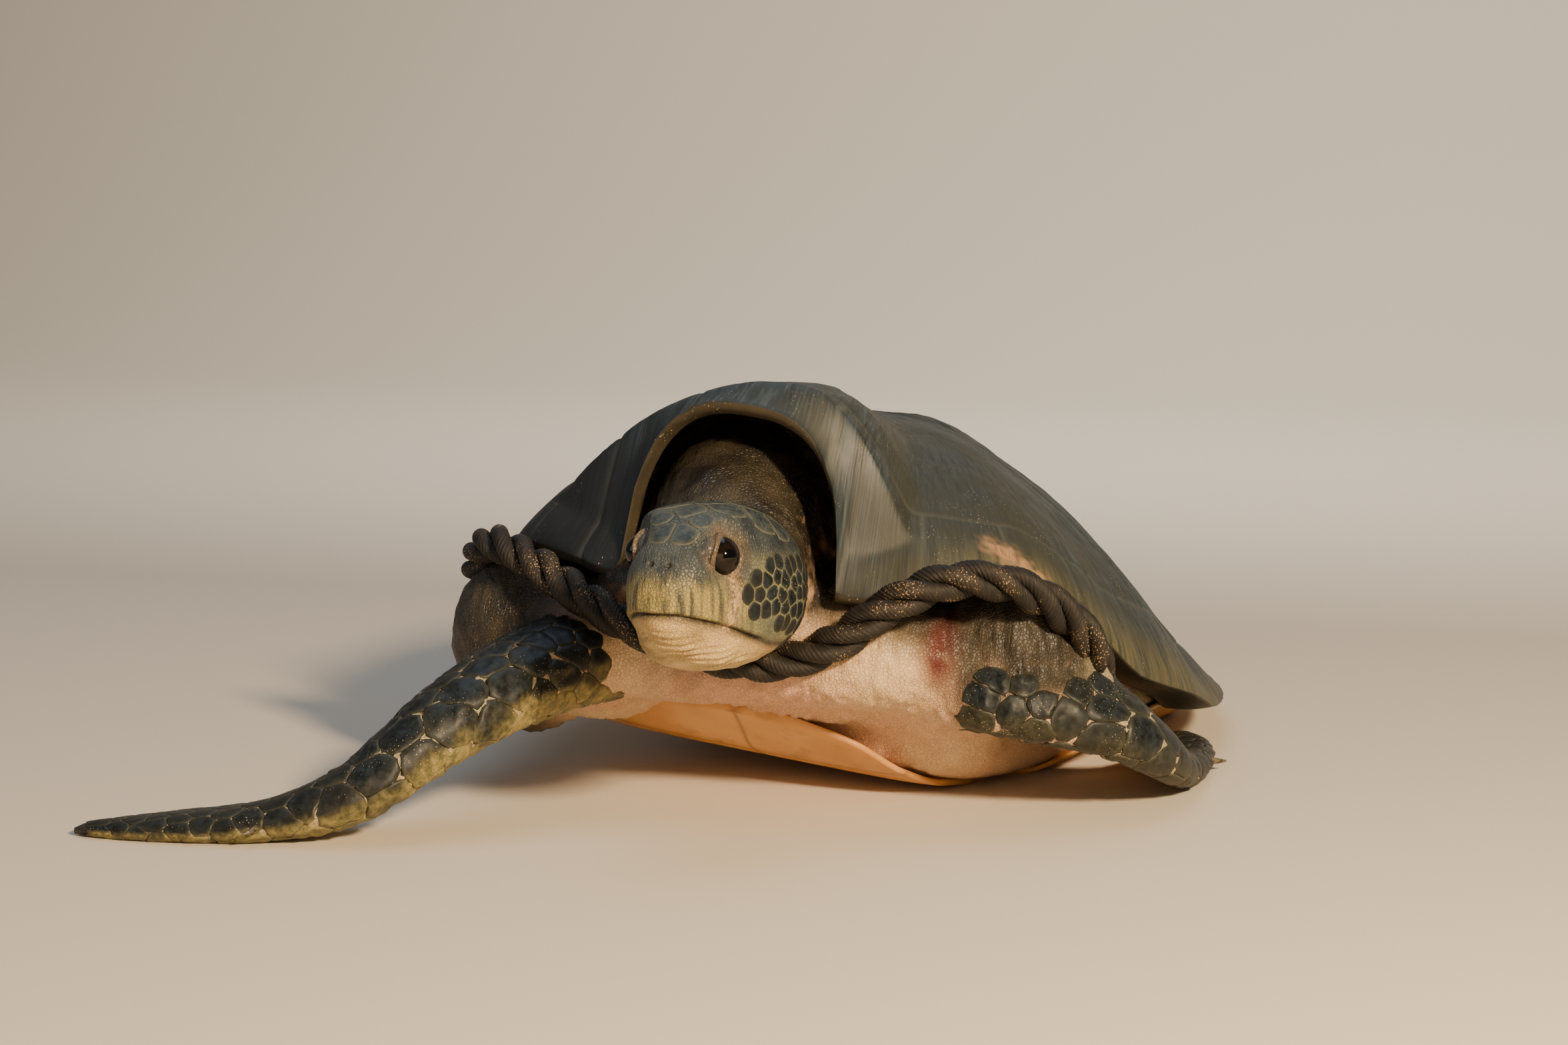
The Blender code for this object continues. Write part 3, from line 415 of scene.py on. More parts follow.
# Grains of beach sand about 1.5 mm across, drawn in drifts, more of them on the band painted in shade.
grains = node(tree, "ShaderNodeTexVoronoi", {"Vector": spot, "Scale": 240.0})
drifts = node(tree, "ShaderNodeTexNoise", {"Vector": spot, "Scale": 22.0, "Detail": 3.0})
sandy = node(tree, "ShaderNodeMath", {0: marks["front_shade_and_sand"], 1: 0.35}, operation="ADD")
specks = masked(tree, sandy, (drifts, 0.52, 0.70), (grains, 0.22, 0.10))
colour = layered(
    tree,
    "#10171b",
    ("#29373f", 1.0, (streaks, 0.34, 0.66)),
    ("#22282a", 0.75, (clouds, 0.42, 0.68)),
    ("#56666e", 0.35, (scratches, 0.50, 0.72)),
    ("#2b2d22", 0.75, marks["front_plates"], (clouds, 0.36, 0.62)),
    ("#5d5836", 0.75, marks["pale_edge"], (streaks, 0.30, 0.60)),
    # Painted shade on the right front band of the shell.
    ("#15181a", 0.86, marks["front_shade_and_sand"]),
    ("#4d5048", 0.40, marks["seam"]),
    ("#a8845f", 1.0, marks["scar"]),
    ("#4a2c20", 1.0, (marks["scar"], 0.72, 0.95), (scratches, 0.40, 0.60)),
    (layered(tree, "#1f1c15", ("#463d2c", 1.0, (clouds, 0.40, 0.62))), 0.9, marks["inside"]),
    ("#c9b48d", specks),
)
height = node(tree, "ShaderNodeMath", {0: scratches, 1: specks}, operation="ADD")
dressed(tree, colour, (clouds, 0.48, 0.70), height, 0.35, 0.0012)
carapace.data.materials.append(horn)
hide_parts("carapace")


# ---------------------------------------------------------------- plastron
# The flat under shell: paired plates of smooth orange-tan horn over bone, with a seam
# down the middle and six across, curled up at the throat.
PLATE = 0.012
PLATE_Y = [-0.420, -0.412, -0.39, -0.34, -0.28, -0.21, -0.16, -0.10, 0.0]
PLATE_Y += [0.10, 0.17, 0.23, 0.30, 0.36, 0.39, 0.402]
PLATE_HALF = [0.020, 0.075, 0.128, 0.172, 0.190, 0.205, 0.280, 0.308, 0.312]
PLATE_HALF += [0.304, 0.275, 0.190, 0.152, 0.110, 0.065, 0.020]
KEEL_Y = [-0.43, -0.40, -0.36, -0.31, -0.22, -0.10, 0.0]
KEEL_RISE = [0.040, 0.020, -0.006, -0.017, -0.018, -0.008, 0.0]


def plate_height(x, y):
    """Underside of the plastron: sagging behind the front lobe, which curls up."""
    bridge = (0.042 - BELLY) * (np.clip(np.abs(x) - 0.20, 0, 1) / 0.13) ** 1.5
    return BELLY + bridge + curve(y, KEEL_Y, KEEL_RISE)


CROSS_SEAMS = [-0.36, -0.25, -0.10, 0.06, 0.20, 0.31]
STATIONS = 200
WIDE = 121
turn = np.linspace(0, math.pi, STATIONS)
y = np.interp(-np.cos(turn), [-1, 1], [PLATE_Y[0], PLATE_Y[-1]])
half = curve(y, PLATE_Y, PLATE_HALF)
s = np.linspace(-1, 1, WIDE)[None]
x = s * half[:, None]
y = y[:, None] + 0 * s
thin = PLATE * (1 - 0.55 * np.abs(s) ** 6)
low = plate_height(x, y) + 0.5 * (PLATE - thin)
apart = np.abs(x)
for station in CROSS_SEAMS:
    apart = np.minimum(apart, np.abs(y - station - 0.012 * np.cos(9 * x)))
under = tipped(np.stack([x, y, low], axis=-1))
upper = tipped(np.stack([x, y, low + thin], axis=-1))
lift = np.maximum(-under[..., 2], 0)
under[..., 2] += lift
upper[..., 2] += lift
plate_groove = bell(apart, 0.0022)
clear_of_floor = smooth_step(under[..., 2], 0.001, 0.006)
under[..., 2] += 0.0009 * plate_groove * clear_of_floor
plastron = piece(
    "plastron_horn_plates",
    np.concatenate([under, upper[:, ::-1]], axis=1),
    closed_grid(STATIONS, 2 * WIDE),
    {"seam": np.concatenate([plate_groove, 0 * plate_groove], axis=1)},
)
# Polished by sand, so smoother and shinier than the dome.
plate_horn, tree, spot, marks = finish("smooth_orange_keratin", "seam")
clouds = node(tree, "ShaderNodeTexNoise", {"Vector": spot, "Scale": 11.0, "Detail": 5.0})
stains = node(tree, "ShaderNodeTexNoise", {"Vector": spot, "Scale": 34.0, "Detail": 4.0})
colour = layered(
    tree,
    "#b87f42",
    ("#cf9c5c", 1.0, (clouds, 0.35, 0.65)),
    ("#8a5a2a", 0.6, (stains, 0.55, 0.75)),
    ("#7a5027", 0.7, marks["seam"]),
)
dressed(tree, colour, 0.42, stains, 0.2, 0.001)
plastron.data.materials.append(plate_horn)
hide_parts("plastron")


# ---------------------------------------------------------------- skin
# One hide over head, neck, shoulders, flippers and tail: leathery, creased where it
# bends, tight over the skull. The forms are melted into one surface, then folded.
HEAD_ORIGIN = (0.006, -0.512, 0.225)
HEAD_TURN = math.radians(6.0)
HEAD_PITCH = math.radians(8.0)
EYE_RADIUS = 0.0185
EYE_PLACE = (0.148, 0.0355, 0.026)
HEAD_A = [-0.060, -0.030, 0.000, 0.040, 0.080, 0.120, 0.150, 0.175, 0.190, 0.199, 0.204, 0.206]
HEAD_HALF = [0.036, 0.048, 0.061, 0.0715, 0.0705, 0.062, 0.0525, 0.0405, 0.0310, 0.0215, 0.0120, 0.003]
HEAD_TOP = [0.040, 0.051, 0.062, 0.071, 0.075, 0.071, 0.061, 0.043, 0.0275, 0.0130, 0.0020, -0.010]
HEAD_LOW = [-0.040, -0.050, -0.060, -0.070, -0.077, -0.077, -0.070, -0.058, -0.047, -0.038, -0.030, -0.016]
HEAD_WIDEST = [-0.004, -0.005, -0.006, -0.012, -0.010, -0.004, 0.002, -0.002, -0.008, -0.012, -0.013, -0.013]
HEAD_POWER = [2.1, 2.1, 2.2, 2.3, 2.5, 2.9, 2.9, 2.6, 2.3, 2.1, 2.0, 2.0]
ARM_RIGHT = {
    "line": [
        (-0.100, -0.350, 0.140), (-0.172, -0.445, 0.144), (-0.216, -0.526, 0.131),
        (-0.272, -0.625, 0.088), (-0.322, -0.672, 0.043), (-0.390, -0.690, 0.018),
        (-0.480, -0.716, 0.010), (-0.572, -0.745, 0.006),
    ],
    "leading": [(0.6, -0.7, -0.4), (0.8, -0.5, -0.3), (0.8, -0.6, 0), (0.2, -1, 0), (0.1, -1, 0)],
    "stations": [0, 0.2, 0.4, 0.5, 0.62, 0.75, 0.9, 1],
    "half_width": [0.070, 0.059, 0.053, 0.050, 0.053, 0.055, 0.042, 0.012],
    "half_depth": [0.052, 0.052, 0.046, 0.040, 0.032, 0.021, 0.013, 0.008],
}
ARM_LEFT = {
    "line": [
        (0.130, -0.330, 0.142), (0.205, -0.412, 0.134), (0.272, -0.402, 0.118),
        (0.322, -0.368, 0.094), (0.342, -0.318, 0.064), (0.344, -0.255, 0.034),
        (0.340, -0.180, 0.016), (0.332, -0.085, 0.009), (0.318, 0.010, 0.006),
    ],
    "leading": [(-0.2, -0.7, -0.7), (0.1, -0.75, -0.7), (0.8, -0.6, -0.5), (1, 0, 0), (1, 0.1, 0)],
    "stations": [0, 0.2, 0.45, 0.6, 0.75, 0.9, 1],
    "half_width": [0.070, 0.060, 0.054, 0.048, 0.044, 0.034, 0.010],
    "half_depth": [0.050, 0.040, 0.032, 0.023, 0.016, 0.012, 0.008],
}
REAR_RIGHT = {
    "line": [
        (-0.100, 0.280, 0.085), (-0.165, 0.375, 0.062), (-0.215, 0.450, 0.036),
        (-0.255, 0.520, 0.017), (-0.285, 0.595, 0.010),
    ],
    "leading": [(-1, -0.6, 0), (-1, -0.5, 0)],
    "stations": [0, 0.3, 0.6, 0.85, 1],
    "half_width": [0.055, 0.055, 0.062, 0.060, 0.020],
    "half_depth": [0.045, 0.032, 0.020, 0.014, 0.010],
}
REAR_LEFT = {
    "line": [
        (0.100, 0.280, 0.065), (0.142, 0.370, 0.046), (0.158, 0.440, 0.030), (0.162, 0.502, 0.016),
        (0.156, 0.568, 0.010),
    ],
    "leading": [(1, -0.6, 0), (1, -0.5, 0)],
    "stations": [0, 0.3, 0.6, 0.85, 1],
    "half_width": [0.055, 0.055, 0.060, 0.054, 0.020],
    "half_depth": [0.045, 0.032, 0.020, 0.014, 0.010],
}
LIMBS = {
    "front_flipper_right": ARM_RIGHT,
    "front_flipper_left": ARM_LEFT,
    "hind_flipper_right": REAR_RIGHT,
    "hind_flipper_left": REAR_LEFT,
}
TAIL = [(0, 0.33, 0.062), (0, 0.43, 0.052), (0.004, 0.505, 0.034), (0.008, 0.560, 0.012)]
ROPE_DIAMETER = 0.038
ROPE = [(0.275, -0.290, 0.080), (0.297, -0.333, 0.118), (0.302, -0.378, 0.160)]
ROPE += [(0.279, -0.415, 0.199), (0.238, -0.455, 0.227), (0.192, -0.482, 0.231)]
ROPE += [(0.137, -0.499, 0.207), (0.088, -0.504, 0.172), (0.035, -0.502, 0.152)]
ROPE += [(-0.035, -0.508, 0.156), (-0.105, -0.502, 0.176), (-0.172, -0.480, 0.203)]
ROPE += [(-0.232, -0.449, 0.228), (-0.286, -0.412, 0.2385), (-0.318, -0.368, 0.212)]
ROPE += [(-0.325, -0.320, 0.165), (-0.312, -0.278, 0.120), (-0.290, -0.245, 0.085)]
SKIN_VOXEL = 0.0085
SCALE_DEPTH = 0.0010
HEAD_BLOCK = (0.09, 0.095)
HEAD_STATIONS = 90
HEAD_AROUND = 96
LIMB_STEPS = 100


def line_through(points, count):
    """Evenly spaced points on a smooth line through the given points."""
    points = np.asarray(points, float)
    at = walked(points)
    step = np.diff(at)
    tangent = np.gradient(points, at, axis=0)
    x = np.linspace(0, at[-1], 2000)
    i = np.clip(np.searchsorted(at, x) - 1, 0, len(step) - 1)
    s = ((x - at[i]) / step[i])[:, None]
    h = step[i][:, None]
    fine = (
        points[i] * (1 + 2 * s) * (1 - s) ** 2
        + points[i + 1] * s * s * (3 - 2 * s)
        + h * tangent[i] * s * (1 - s) ** 2
        + h * tangent[i + 1] * s * s * (s - 1)
    )
    run = walked(fine)
    even = np.linspace(0, run[-1], count)
    return np.stack([np.interp(even, run, fine[:, k]) for k in range(3)], axis=1)


def spread(directions, count):
    """Unit directions blended evenly along a limb."""
    directions = np.asarray(directions, float)
    at = np.linspace(0, len(directions) - 1, count)
    blend = [np.interp(at, range(len(directions)), directions[:, k]) for k in range(3)]
    return unit(np.stack(blend, axis=1))


def limb_frame(limb, count):
    """Centre line of a limb, its own direction and its leading side, all along it."""
    centre = line_through(limb["line"], count)
    along = unit(np.gradient(centre, axis=0))
    side = spread(limb["leading"], count)
    side = unit(side - along * np.sum(side * along, axis=1, keepdims=True))
    return centre, along, side


def head_axes():
    """Forward, left and up of the head as it is held."""
    flat = np.array([-math.sin(HEAD_TURN), -math.cos(HEAD_TURN), 0.0])
    left = np.array([math.cos(HEAD_TURN), -math.sin(HEAD_TURN), 0.0])
    up = np.array([0, 0, 1.0])
    forward = flat * math.cos(HEAD_PITCH) + up * math.sin(HEAD_PITCH)
    above = up * math.cos(HEAD_PITCH) - flat * math.sin(HEAD_PITCH)
    return forward, left, above


def head_to_world(points):
    """The body's frame of points given forward, left and up of the head's origin."""
    return np.array(HEAD_ORIGIN) + np.asarray(points, float) @ np.array(head_axes())


def world_to_head(points):
    """Forward, left and up of points in the head's own axes."""
    return np.moveaxis((points - np.array(HEAD_ORIGIN)) @ np.array(head_axes()).T, -1, 0)


def bump(a, b, c, centre, radii):
    """Soft round swelling of height 1 about a point of the head, on both sides."""
    da = (a - centre[0]) / radii[0]
    db = (np.abs(b) - centre[1]) / radii[1]
    dc = (c - centre[2]) / radii[2]
    return np.exp(-(da**2 + db**2 + dc**2))


def head_form(a, turn):
    """Head surface in its own axes, with brow, orbit, cheek and the step of the beak."""
    half = curve(a, HEAD_A, HEAD_HALF)
    top = curve(a, HEAD_A, HEAD_TOP)
    low = curve(a, HEAD_A, HEAD_LOW)
    mid = curve(a, HEAD_A, HEAD_WIDEST)
    power = curve(a, HEAD_A, HEAD_POWER)
    c = np.cos(turn)
    s = np.sin(turn)
    lower_power = 0.5 * (power + 2.0)
    p = np.where(s > 0, power, lower_power)
    across = np.sign(c) * np.abs(c) ** (2 / p)
    rise = np.sign(s) * np.abs(s) ** (2 / p)
    b = half * across
    high = mid + rise * np.where(s > 0, top - mid, mid - low)
    grow = 0.0040 * bump(a, b, high, (0.140, 0.040, 0.056), (0.024, 0.016, 0.014))
    grow -= 0.0050 * bump(a, b, high, EYE_PLACE, (0.020, 0.022, 0.017))
    grow += 0.0030 * bump(a, b, high, (0.060, 0.066, -0.020), (0.035, 0.03, 0.028))
    grow -= 0.0035 * bump(a, b, high, (0.165, 0.045, -0.050), (0.030, 0.04, 0.010))
    scale = 1 + grow / np.maximum(np.hypot(b, high - mid), 0.012)
    return np.stack([a, b * scale, mid + (high - mid) * scale], axis=-1)


def limb_surface(limb, t, turn):
    """Surface of a limb at stations t and angles turn: thick in front, thin behind."""
    centre, along, side = limb_frame(limb, LIMB_STEPS + 1)
    rise_way = np.cross(along, side)
    rise_way = rise_way * np.where(rise_way[:, 2:3] < 0, -1, 1)
    at = np.clip(t * LIMB_STEPS, 0, LIMB_STEPS - 0.001)
    low = np.floor(at).astype(int)
    part = (at - low)[..., None]
    here = centre[low] * (1 - part) + centre[low + 1] * part
    half = curve(t, limb["stations"], limb["half_width"])[..., None]
    deep = curve(t, limb["stations"], limb["half_depth"])[..., None]
    reach = np.cos(turn)[..., None]
    rise = np.sin(turn)[..., None] * (0.70 + 0.30 * reach) ** 0.8
    return here + side[low] * half * reach + rise_way[low] * deep * rise


def ring_tube(centre, side, half_width, top, bottom, power, count):
    """Rings across a line: half_width to each side, superelliptic, top over bottom."""
    along = unit(np.gradient(centre, axis=0))
    side = unit(side - along * np.sum(side * along, axis=1, keepdims=True))
    up = np.cross(along, side)
    up = up * np.where(up[:, 2:3] < 0, -1, 1)
    turn = circle(count)[None]
    reach = np.sign(np.cos(turn)) * np.abs(np.cos(turn)) ** (2 / power)
    rise = np.sign(np.sin(turn)) * np.abs(np.sin(turn)) ** (2 / power)
    tall = np.where(rise > 0, top[:, None], bottom[:, None])
    wide = side[:, None] * (half_width[:, None] * reach)[..., None]
    return centre[:, None] + wide + up[:, None] * (tall * rise)[..., None]


def trunk_rings():
    """Body that fills the shell, cut short behind the hood so that the arch is open."""
    phi = np.radians(np.arange(-172.5, 187, 7.5))[None]
    alpha = np.linspace(0.06, math.pi / 2, 16)[:, None]
    over = dome(phi + 0 * alpha, alpha + 0 * phi, inset=0.5 * SHELL_WALL)
    edge = over[-1:]
    r = np.linspace(1, 0.06, 14)[1:, None]
    under = edge * r[..., None]
    floor = plate_height(under[..., 0], under[..., 1]) + 0.5 * PLATE
    under[..., 2] = floor + (edge[..., 2] - floor) * (r**14)
    rings = np.concatenate([over, under])
    side = curve(rings[..., 1], [-0.34, -0.24, -0.16, -0.06], [0.225, 0.245, 0.270, 0.310])
    rings[..., 0] = np.clip(rings[..., 0], -side, side)
    rings[..., 1] = np.clip(rings[..., 1], -0.375, 0.430)
    rings = tipped(rings)
    rings[..., 2] = np.maximum(rings[..., 2], 0.5 * PLATE)
    return rings


def neck_rings():
    """Thick neck: fills the arch at its root and narrows a little towards the head."""
    ends = [(-0.040, -0.20, 0.205), (-0.045, -0.36, 0.222), (-0.030, -0.44, 0.228)]
    ends += [(-0.004, -0.50, 0.226), (0.004, -0.535, 0.225)]
    centre = line_through(ends, 40)
    y = -centre[:, 1]
    wide = curve(y, [0.2, 0.36, 0.42, 0.48, 0.54], [0.100, 0.098, 0.088, 0.072, 0.056])
    top_y = [0.2, 0.36, 0.42, 0.47, 0.51, 0.54]
    top = curve(y, top_y, [0.120, 0.135, 0.124, 0.096, 0.070, 0.052])
    low = curve(y, [0.2, 0.36, 0.42, 0.48, 0.54], [0.110, 0.105, 0.086, 0.070, 0.058])
    return ring_tube(centre, np.array([1.0, 0, 0]), wide, top, low, 2.2, 48)


def chest_rings():
    """Bolster of skin between the plastron and the throat, from arm to arm."""
    ends = [(-0.22, -0.37, 0.140), (-0.13, -0.415, 0.142), (0.00, -0.430, 0.146)]
    ends += [(0.12, -0.428, 0.146), (0.20, -0.38, 0.140)]
    centre = line_through(ends, 40)
    shut = np.sqrt(np.clip(1 - np.linspace(-0.985, 0.985, 40) ** 6, 0, 1))
    return ring_tube(centre, np.array([0, 1.0, 0]), 0.062 * shut, 0.062 * shut, 0.050 * shut, 2, 40)


# Shoulders, breast muscles, the two sides of the throat, and the fills under the chest.
MUSCLES = [
    ((-0.262, -0.372, 0.140), (0.080, 0.078, 0.095)),
    ((-0.180, -0.385, 0.140), (0.090, 0.085, 0.075)),
    ((0.222, -0.360, 0.152), (0.085, 0.080, 0.075)),
    ((0.125, -0.385, 0.145), (0.085, 0.085, 0.062)),
    ((-0.112, -0.420, 0.200), (0.062, 0.060, 0.056)),
    ((0.100, -0.415, 0.180), (0.060, 0.062, 0.056)),
    ((0.130, -0.345, 0.105), (0.130, 0.080, 0.048)),
    ((0.040, -0.385, 0.112), (0.130, 0.050, 0.040)),
]


def egg_rings(centre, radii):
    """Rounded mass of muscle: an ellipsoid about a point."""
    turn = np.linspace(0.10, math.pi - 0.10, 22)[:, None]
    ring = circle(36)[None]
    round_x = np.sin(turn) * np.cos(ring)
    round_y = np.sin(turn) * np.sin(ring)
    ball = np.stack([round_x, round_y, np.cos(turn) + 0 * ring], axis=-1)
    return np.array(centre) + ball * radii


def head_rings():
    """The head's surface from the nape to the beak."""
    t = np.linspace(0, 1, HEAD_STATIONS)[:, None]
    a = HEAD_A[0] + (HEAD_A[-1] - HEAD_A[0]) * np.sin(0.5 * math.pi * t)
    turn = circle(HEAD_AROUND)[None]
    return head_to_world(head_form(a + 0 * turn, turn + 0 * a))


forms = [trunk_rings(), neck_rings(), chest_rings(), head_rings()]
forms += [egg_rings(centre, radii) for centre, radii in MUSCLES]
for limb in LIMBS.values():
    t = np.linspace(0, 1, 70)[:, None]
    turn = circle(44)[None]
    forms.append(limb_surface(limb, t + 0 * turn, turn + 0 * t))
tail_line = line_through(TAIL, 30)
fat = curve(np.linspace(0, 1, 30), [0, 0.5, 0.8, 1], [0.040, 0.026, 0.018, 0.006])
forms.append(ring_tube(tail_line, np.array([1.0, 0, 0]), fat, 0.9 * fat, 0.9 * fat, 2, 28))

start = 0
faces = []
for rings in forms:
    faces += closed_grid(*rings.shape[:2], start)
    start += rings.shape[0] * rings.shape[1]
skin = piece("skin", np.concatenate([rings.reshape(-1, 3) for rings in forms]), faces)


def settled(thing):
    """Applies every modifier of a piece to its mesh."""
    graph = bpy.context.evaluated_depsgraph_get()
    mesh = bpy.data.meshes.new_from_object(thing.evaluated_get(graph))
    thing.modifiers.clear()
    thing.data = mesh


def coordinates(mesh):
    flat = np.empty(len(mesh.vertices) * 3, np.float32)
    mesh.vertices.foreach_get("co", flat)
    return flat.reshape(-1, 3).astype(float)


def normals(mesh):
    flat = np.empty(len(mesh.vertices) * 3, np.float32)
    mesh.vertex_normals.foreach_get("vector", flat)
    return flat.reshape(-1, 3).astype(float)


def move_to(mesh, points):
    mesh.vertices.foreach_set("co", points.astype(np.float32).ravel())
    mesh.update()


def modify(thing, kind, **settings):
    """Adds a modifier with its settings."""
    made = thing.modifiers.new(kind.lower(), kind)
    for key, value in settings.items():
        setattr(made, key, value)
    return made


def subdivided(thing, chosen, cuts):
    """Cuts every edge that has both ends among the chosen points."""
    ends = np.empty(2 * len(thing.data.edges), np.int32)
    thing.data.edges.foreach_get("vertices", ends)
    shape = bmesh.new()
    shape.from_mesh(thing.data)
    shape.edges.ensure_lookup_table()
    both = np.flatnonzero(chosen[ends.reshape(-1, 2)].all(axis=1))
    edges = [shape.edges[i] for i in both]
    bmesh.ops.subdivide_edges(shape, edges=edges, cuts=cuts, use_grid_fill=True)
    shape.to_mesh(thing.data)
    shape.free()


def near_head(points, behind):
    """Points of the head's own block that lie in front of a station."""
    a, b, c = world_to_head(points)
    return (a > behind) & (np.abs(b) < HEAD_BLOCK[0]) & (np.abs(c) < HEAD_BLOCK[1])


modify(skin, "REMESH", mode="VOXEL", voxel_size=SKIN_VOXEL)
modify(skin, "SMOOTH", factor=0.5, iterations=4)
settled(skin)
place = coordinates(skin.data)
x, y, z = place.T
on_chest = (y < -0.375) & (np.abs(x) < 0.30) & (z > 0.07) & (z < 0.30)
subdivided(skin, near_head(place, 0.012) | on_chest, 1)
subdivided(skin, near_head(coordinates(skin.data), 0.078), 2)
modify(skin, "SMOOTH", factor=0.5, iterations=2)
settled(skin)

# The skull is tight under the hide, so the head takes its exact form again.
skull = piece("skull_form", head_rings(), closed_grid(HEAD_STATIONS, HEAD_AROUND))
made_pieces.remove(skull)
place = coordinates(skin.data)
a, b, c = world_to_head(place)
tight = smooth_step(a, 0.02, 0.05) * near_head(place, 0.0)
group = skin.vertex_groups.new(name="tight")
for level in np.linspace(0.1, 1.0, 10):
    held = np.flatnonzero((tight > level - 0.1) & (tight <= level))
    group.add(held.tolist(), float(level), "REPLACE")
modify(skin, "SHRINKWRAP", target=skull, vertex_group="tight")
settled(skin)
skin.vertex_groups.clear()
bpy.data.objects.remove(skull, do_unlink=True)

# Folds, lids, nostrils and mouth, each a height along the hide's own normal.
place = coordinates(skin.data)
facing = normals(skin.data)
a, b, c = world_to_head(place)
head_part = smooth_step(a, 0.0, 0.03) * (np.abs(b) < 0.095) * (np.abs(c) < 0.10)
side_b = np.abs(b)
mouth_line = curve(a, [0.08, 0.11, 0.15, 0.198], [-0.050, -0.045, -0.036, -0.028])
above_mouth = c - mouth_line
mouth_reach = smooth_step(a, 0.092, 0.108) * head_part
gape = bell(above_mouth, 0.0016) * mouth_reach
beak_lip = bell(above_mouth - 0.005, 0.004) * mouth_reach
under_lip = bell(above_mouth + 0.006, 0.005) * mouth_reach
height = -0.0042 * gape + 0.0010 * beak_lip - 0.0012 * under_lip
NOSTRIL_B = 0.0085
NOSTRIL_C = 0.0165
nostril = bell(side_b - NOSTRIL_B, 0.0024) * bell(c - NOSTRIL_C, 0.0021)
height = height - 0.0045 * nostril * smooth_step(a, 0.17, 0.18)
nostril_rim = bell(side_b - NOSTRIL_B, 0.005) * bell(c - NOSTRIL_C, 0.0045)
height = height + 0.0009 * nostril_rim * smooth_step(a, 0.17, 0.18)
throat = smooth_step(-above_mouth, 0.010, 0.020) * head_part
fold_wave = np.sin((c + 0.25 * a + 0.005 * ripple(place, 0.06, 21)) * 2 * math.pi / 0.0070)
height = height + 0.0015 * throat * fold_wave * (0.6 + 0.4 * ripple(place, 0.03, 22))

x, y, z = place.T
body_part = 1 - head_part
neck_zone = smooth_step(-y, 0.33, 0.38) * body_part * (np.abs(x) < 0.36)
nape = smooth_step(z, 0.215, 0.245) * neck_zone
ring_fold = np.sin((y - 0.25 * z + 0.02 * ripple(place, 0.07, 23)) * 2 * math.pi / 0.021)
height = height + 0.0016 * nape * ring_fold
loose = neck_zone * (1 - nape)
slack = np.sin((x + 0.35 * y + 0.018 * ripple(place, 0.08, 24)) * 2 * math.pi / 0.017)
height = height + 0.0009 * loose * slack + 0.0012 * loose * ripple(place, 0.022, 25)
height = height + 0.0005 * body_part * ripple(place, 0.013, 26)
place = place + facing * (height - SCALE_DEPTH * body_part)[:, None]

# The rope presses a groove wherever the hide would pass through it.
rope_line = line_through(ROPE, 400)
close = np.flatnonzero((y < -0.20) & (z > 0.04) & (z < 0.30) & (np.abs(x) < 0.38))
apart = np.linalg.norm(place[close][:, None] - rope_line[None], axis=2)
nearest = apart.argmin(axis=1)
apart = apart.min(axis=1)
away = unit(place[close] - rope_line[nearest])
groove_radius = 0.5 * ROPE_DIAMETER - 0.0012
pushed = np.where(apart < groove_radius, groove_radius - apart, 0)
place[close] += away * np.minimum(pushed, 0.016)[:, None]
# The groove's sides are relaxed, because points pushed apart leave the hide ragged.
move_to(skin.data, place)
group = skin.vertex_groups.new(name="groove")
group.add(close[apart < groove_radius + 0.004].tolist(), 1.0, "REPLACE")
modify(skin, "SMOOTH", factor=0.5, iterations=8, vertex_group="groove")
settled(skin)
skin.vertex_groups.clear()
place = coordinates(skin.data)

# Eyelids: inside the opening the hide drops behind the eyeball; round it stands a
# thick margin that follows the ball, then folds that die out over the brow and cheek.
LID_LENGTH = 0.0178
LID_HEIGHT = 0.0132
LID_THICK = 0.0026
OUT_OF_REACH = 9.0
a, b, c = world_to_head(place)
lid_reach = np.full(len(place), OUT_OF_REACH)
for sign in (1, -1):
    centre = np.array(EYE_PLACE) * (1, sign, 1)
    look = unit(np.array([0.42, 0.90 * sign, 0.10]))
    long_way = unit(np.array([-0.38, 0.0, 0.93]) - look * look.dot([-0.38, 0.0, 0.93]))
    short_way = np.cross(look, long_way)
    away = np.stack([a, b, c], axis=-1) - centre
    reach = np.linalg.norm(away, axis=1)
    way = away / reach[:, None]
    ahead = way @ look
    u = (way @ long_way) * EYE_RADIUS / LID_LENGTH
    v = (way @ short_way) * EYE_RADIUS / LID_HEIGHT
    ring = (np.abs(u) ** 2.2 + np.abs(v) ** 2.0) ** 0.5
    ring = np.where((ahead > 0.05) & (reach < 0.034), ring, OUT_OF_REACH)
    lid_reach = np.minimum(lid_reach, ring)
    ball = EYE_RADIUS - 0.0030
    margin = EYE_RADIUS + LID_THICK
    target = ball + (margin - ball) * smooth_step(ring, 0.93, 1.07)
    folds = 0.0011 * np.cos((ring - 1.10) * 2 * math.pi / 0.24)
    folds = folds * smooth_step(ring, 1.05, 1.15) * (1 - smooth_step(ring, 1.5, 1.9))
    hold = 1 - smooth_step(ring, 1.20, 1.62)
    new_reach = reach + (target - reach) * hold + folds
    moved = head_to_world(centre + way * new_reach[:, None])
    place = np.where((ring < 1.95)[:, None], moved, place)
place[:, 2] = np.maximum(place[:, 2], 0.0)
move_to(skin.data, place)


def blot(centre, radii, power):
    """1 at a centre and 0 well past its radii; steeper for a higher power."""
    return np.exp(-(np.linalg.norm((place - np.array(centre)) / radii, axis=1) ** power))


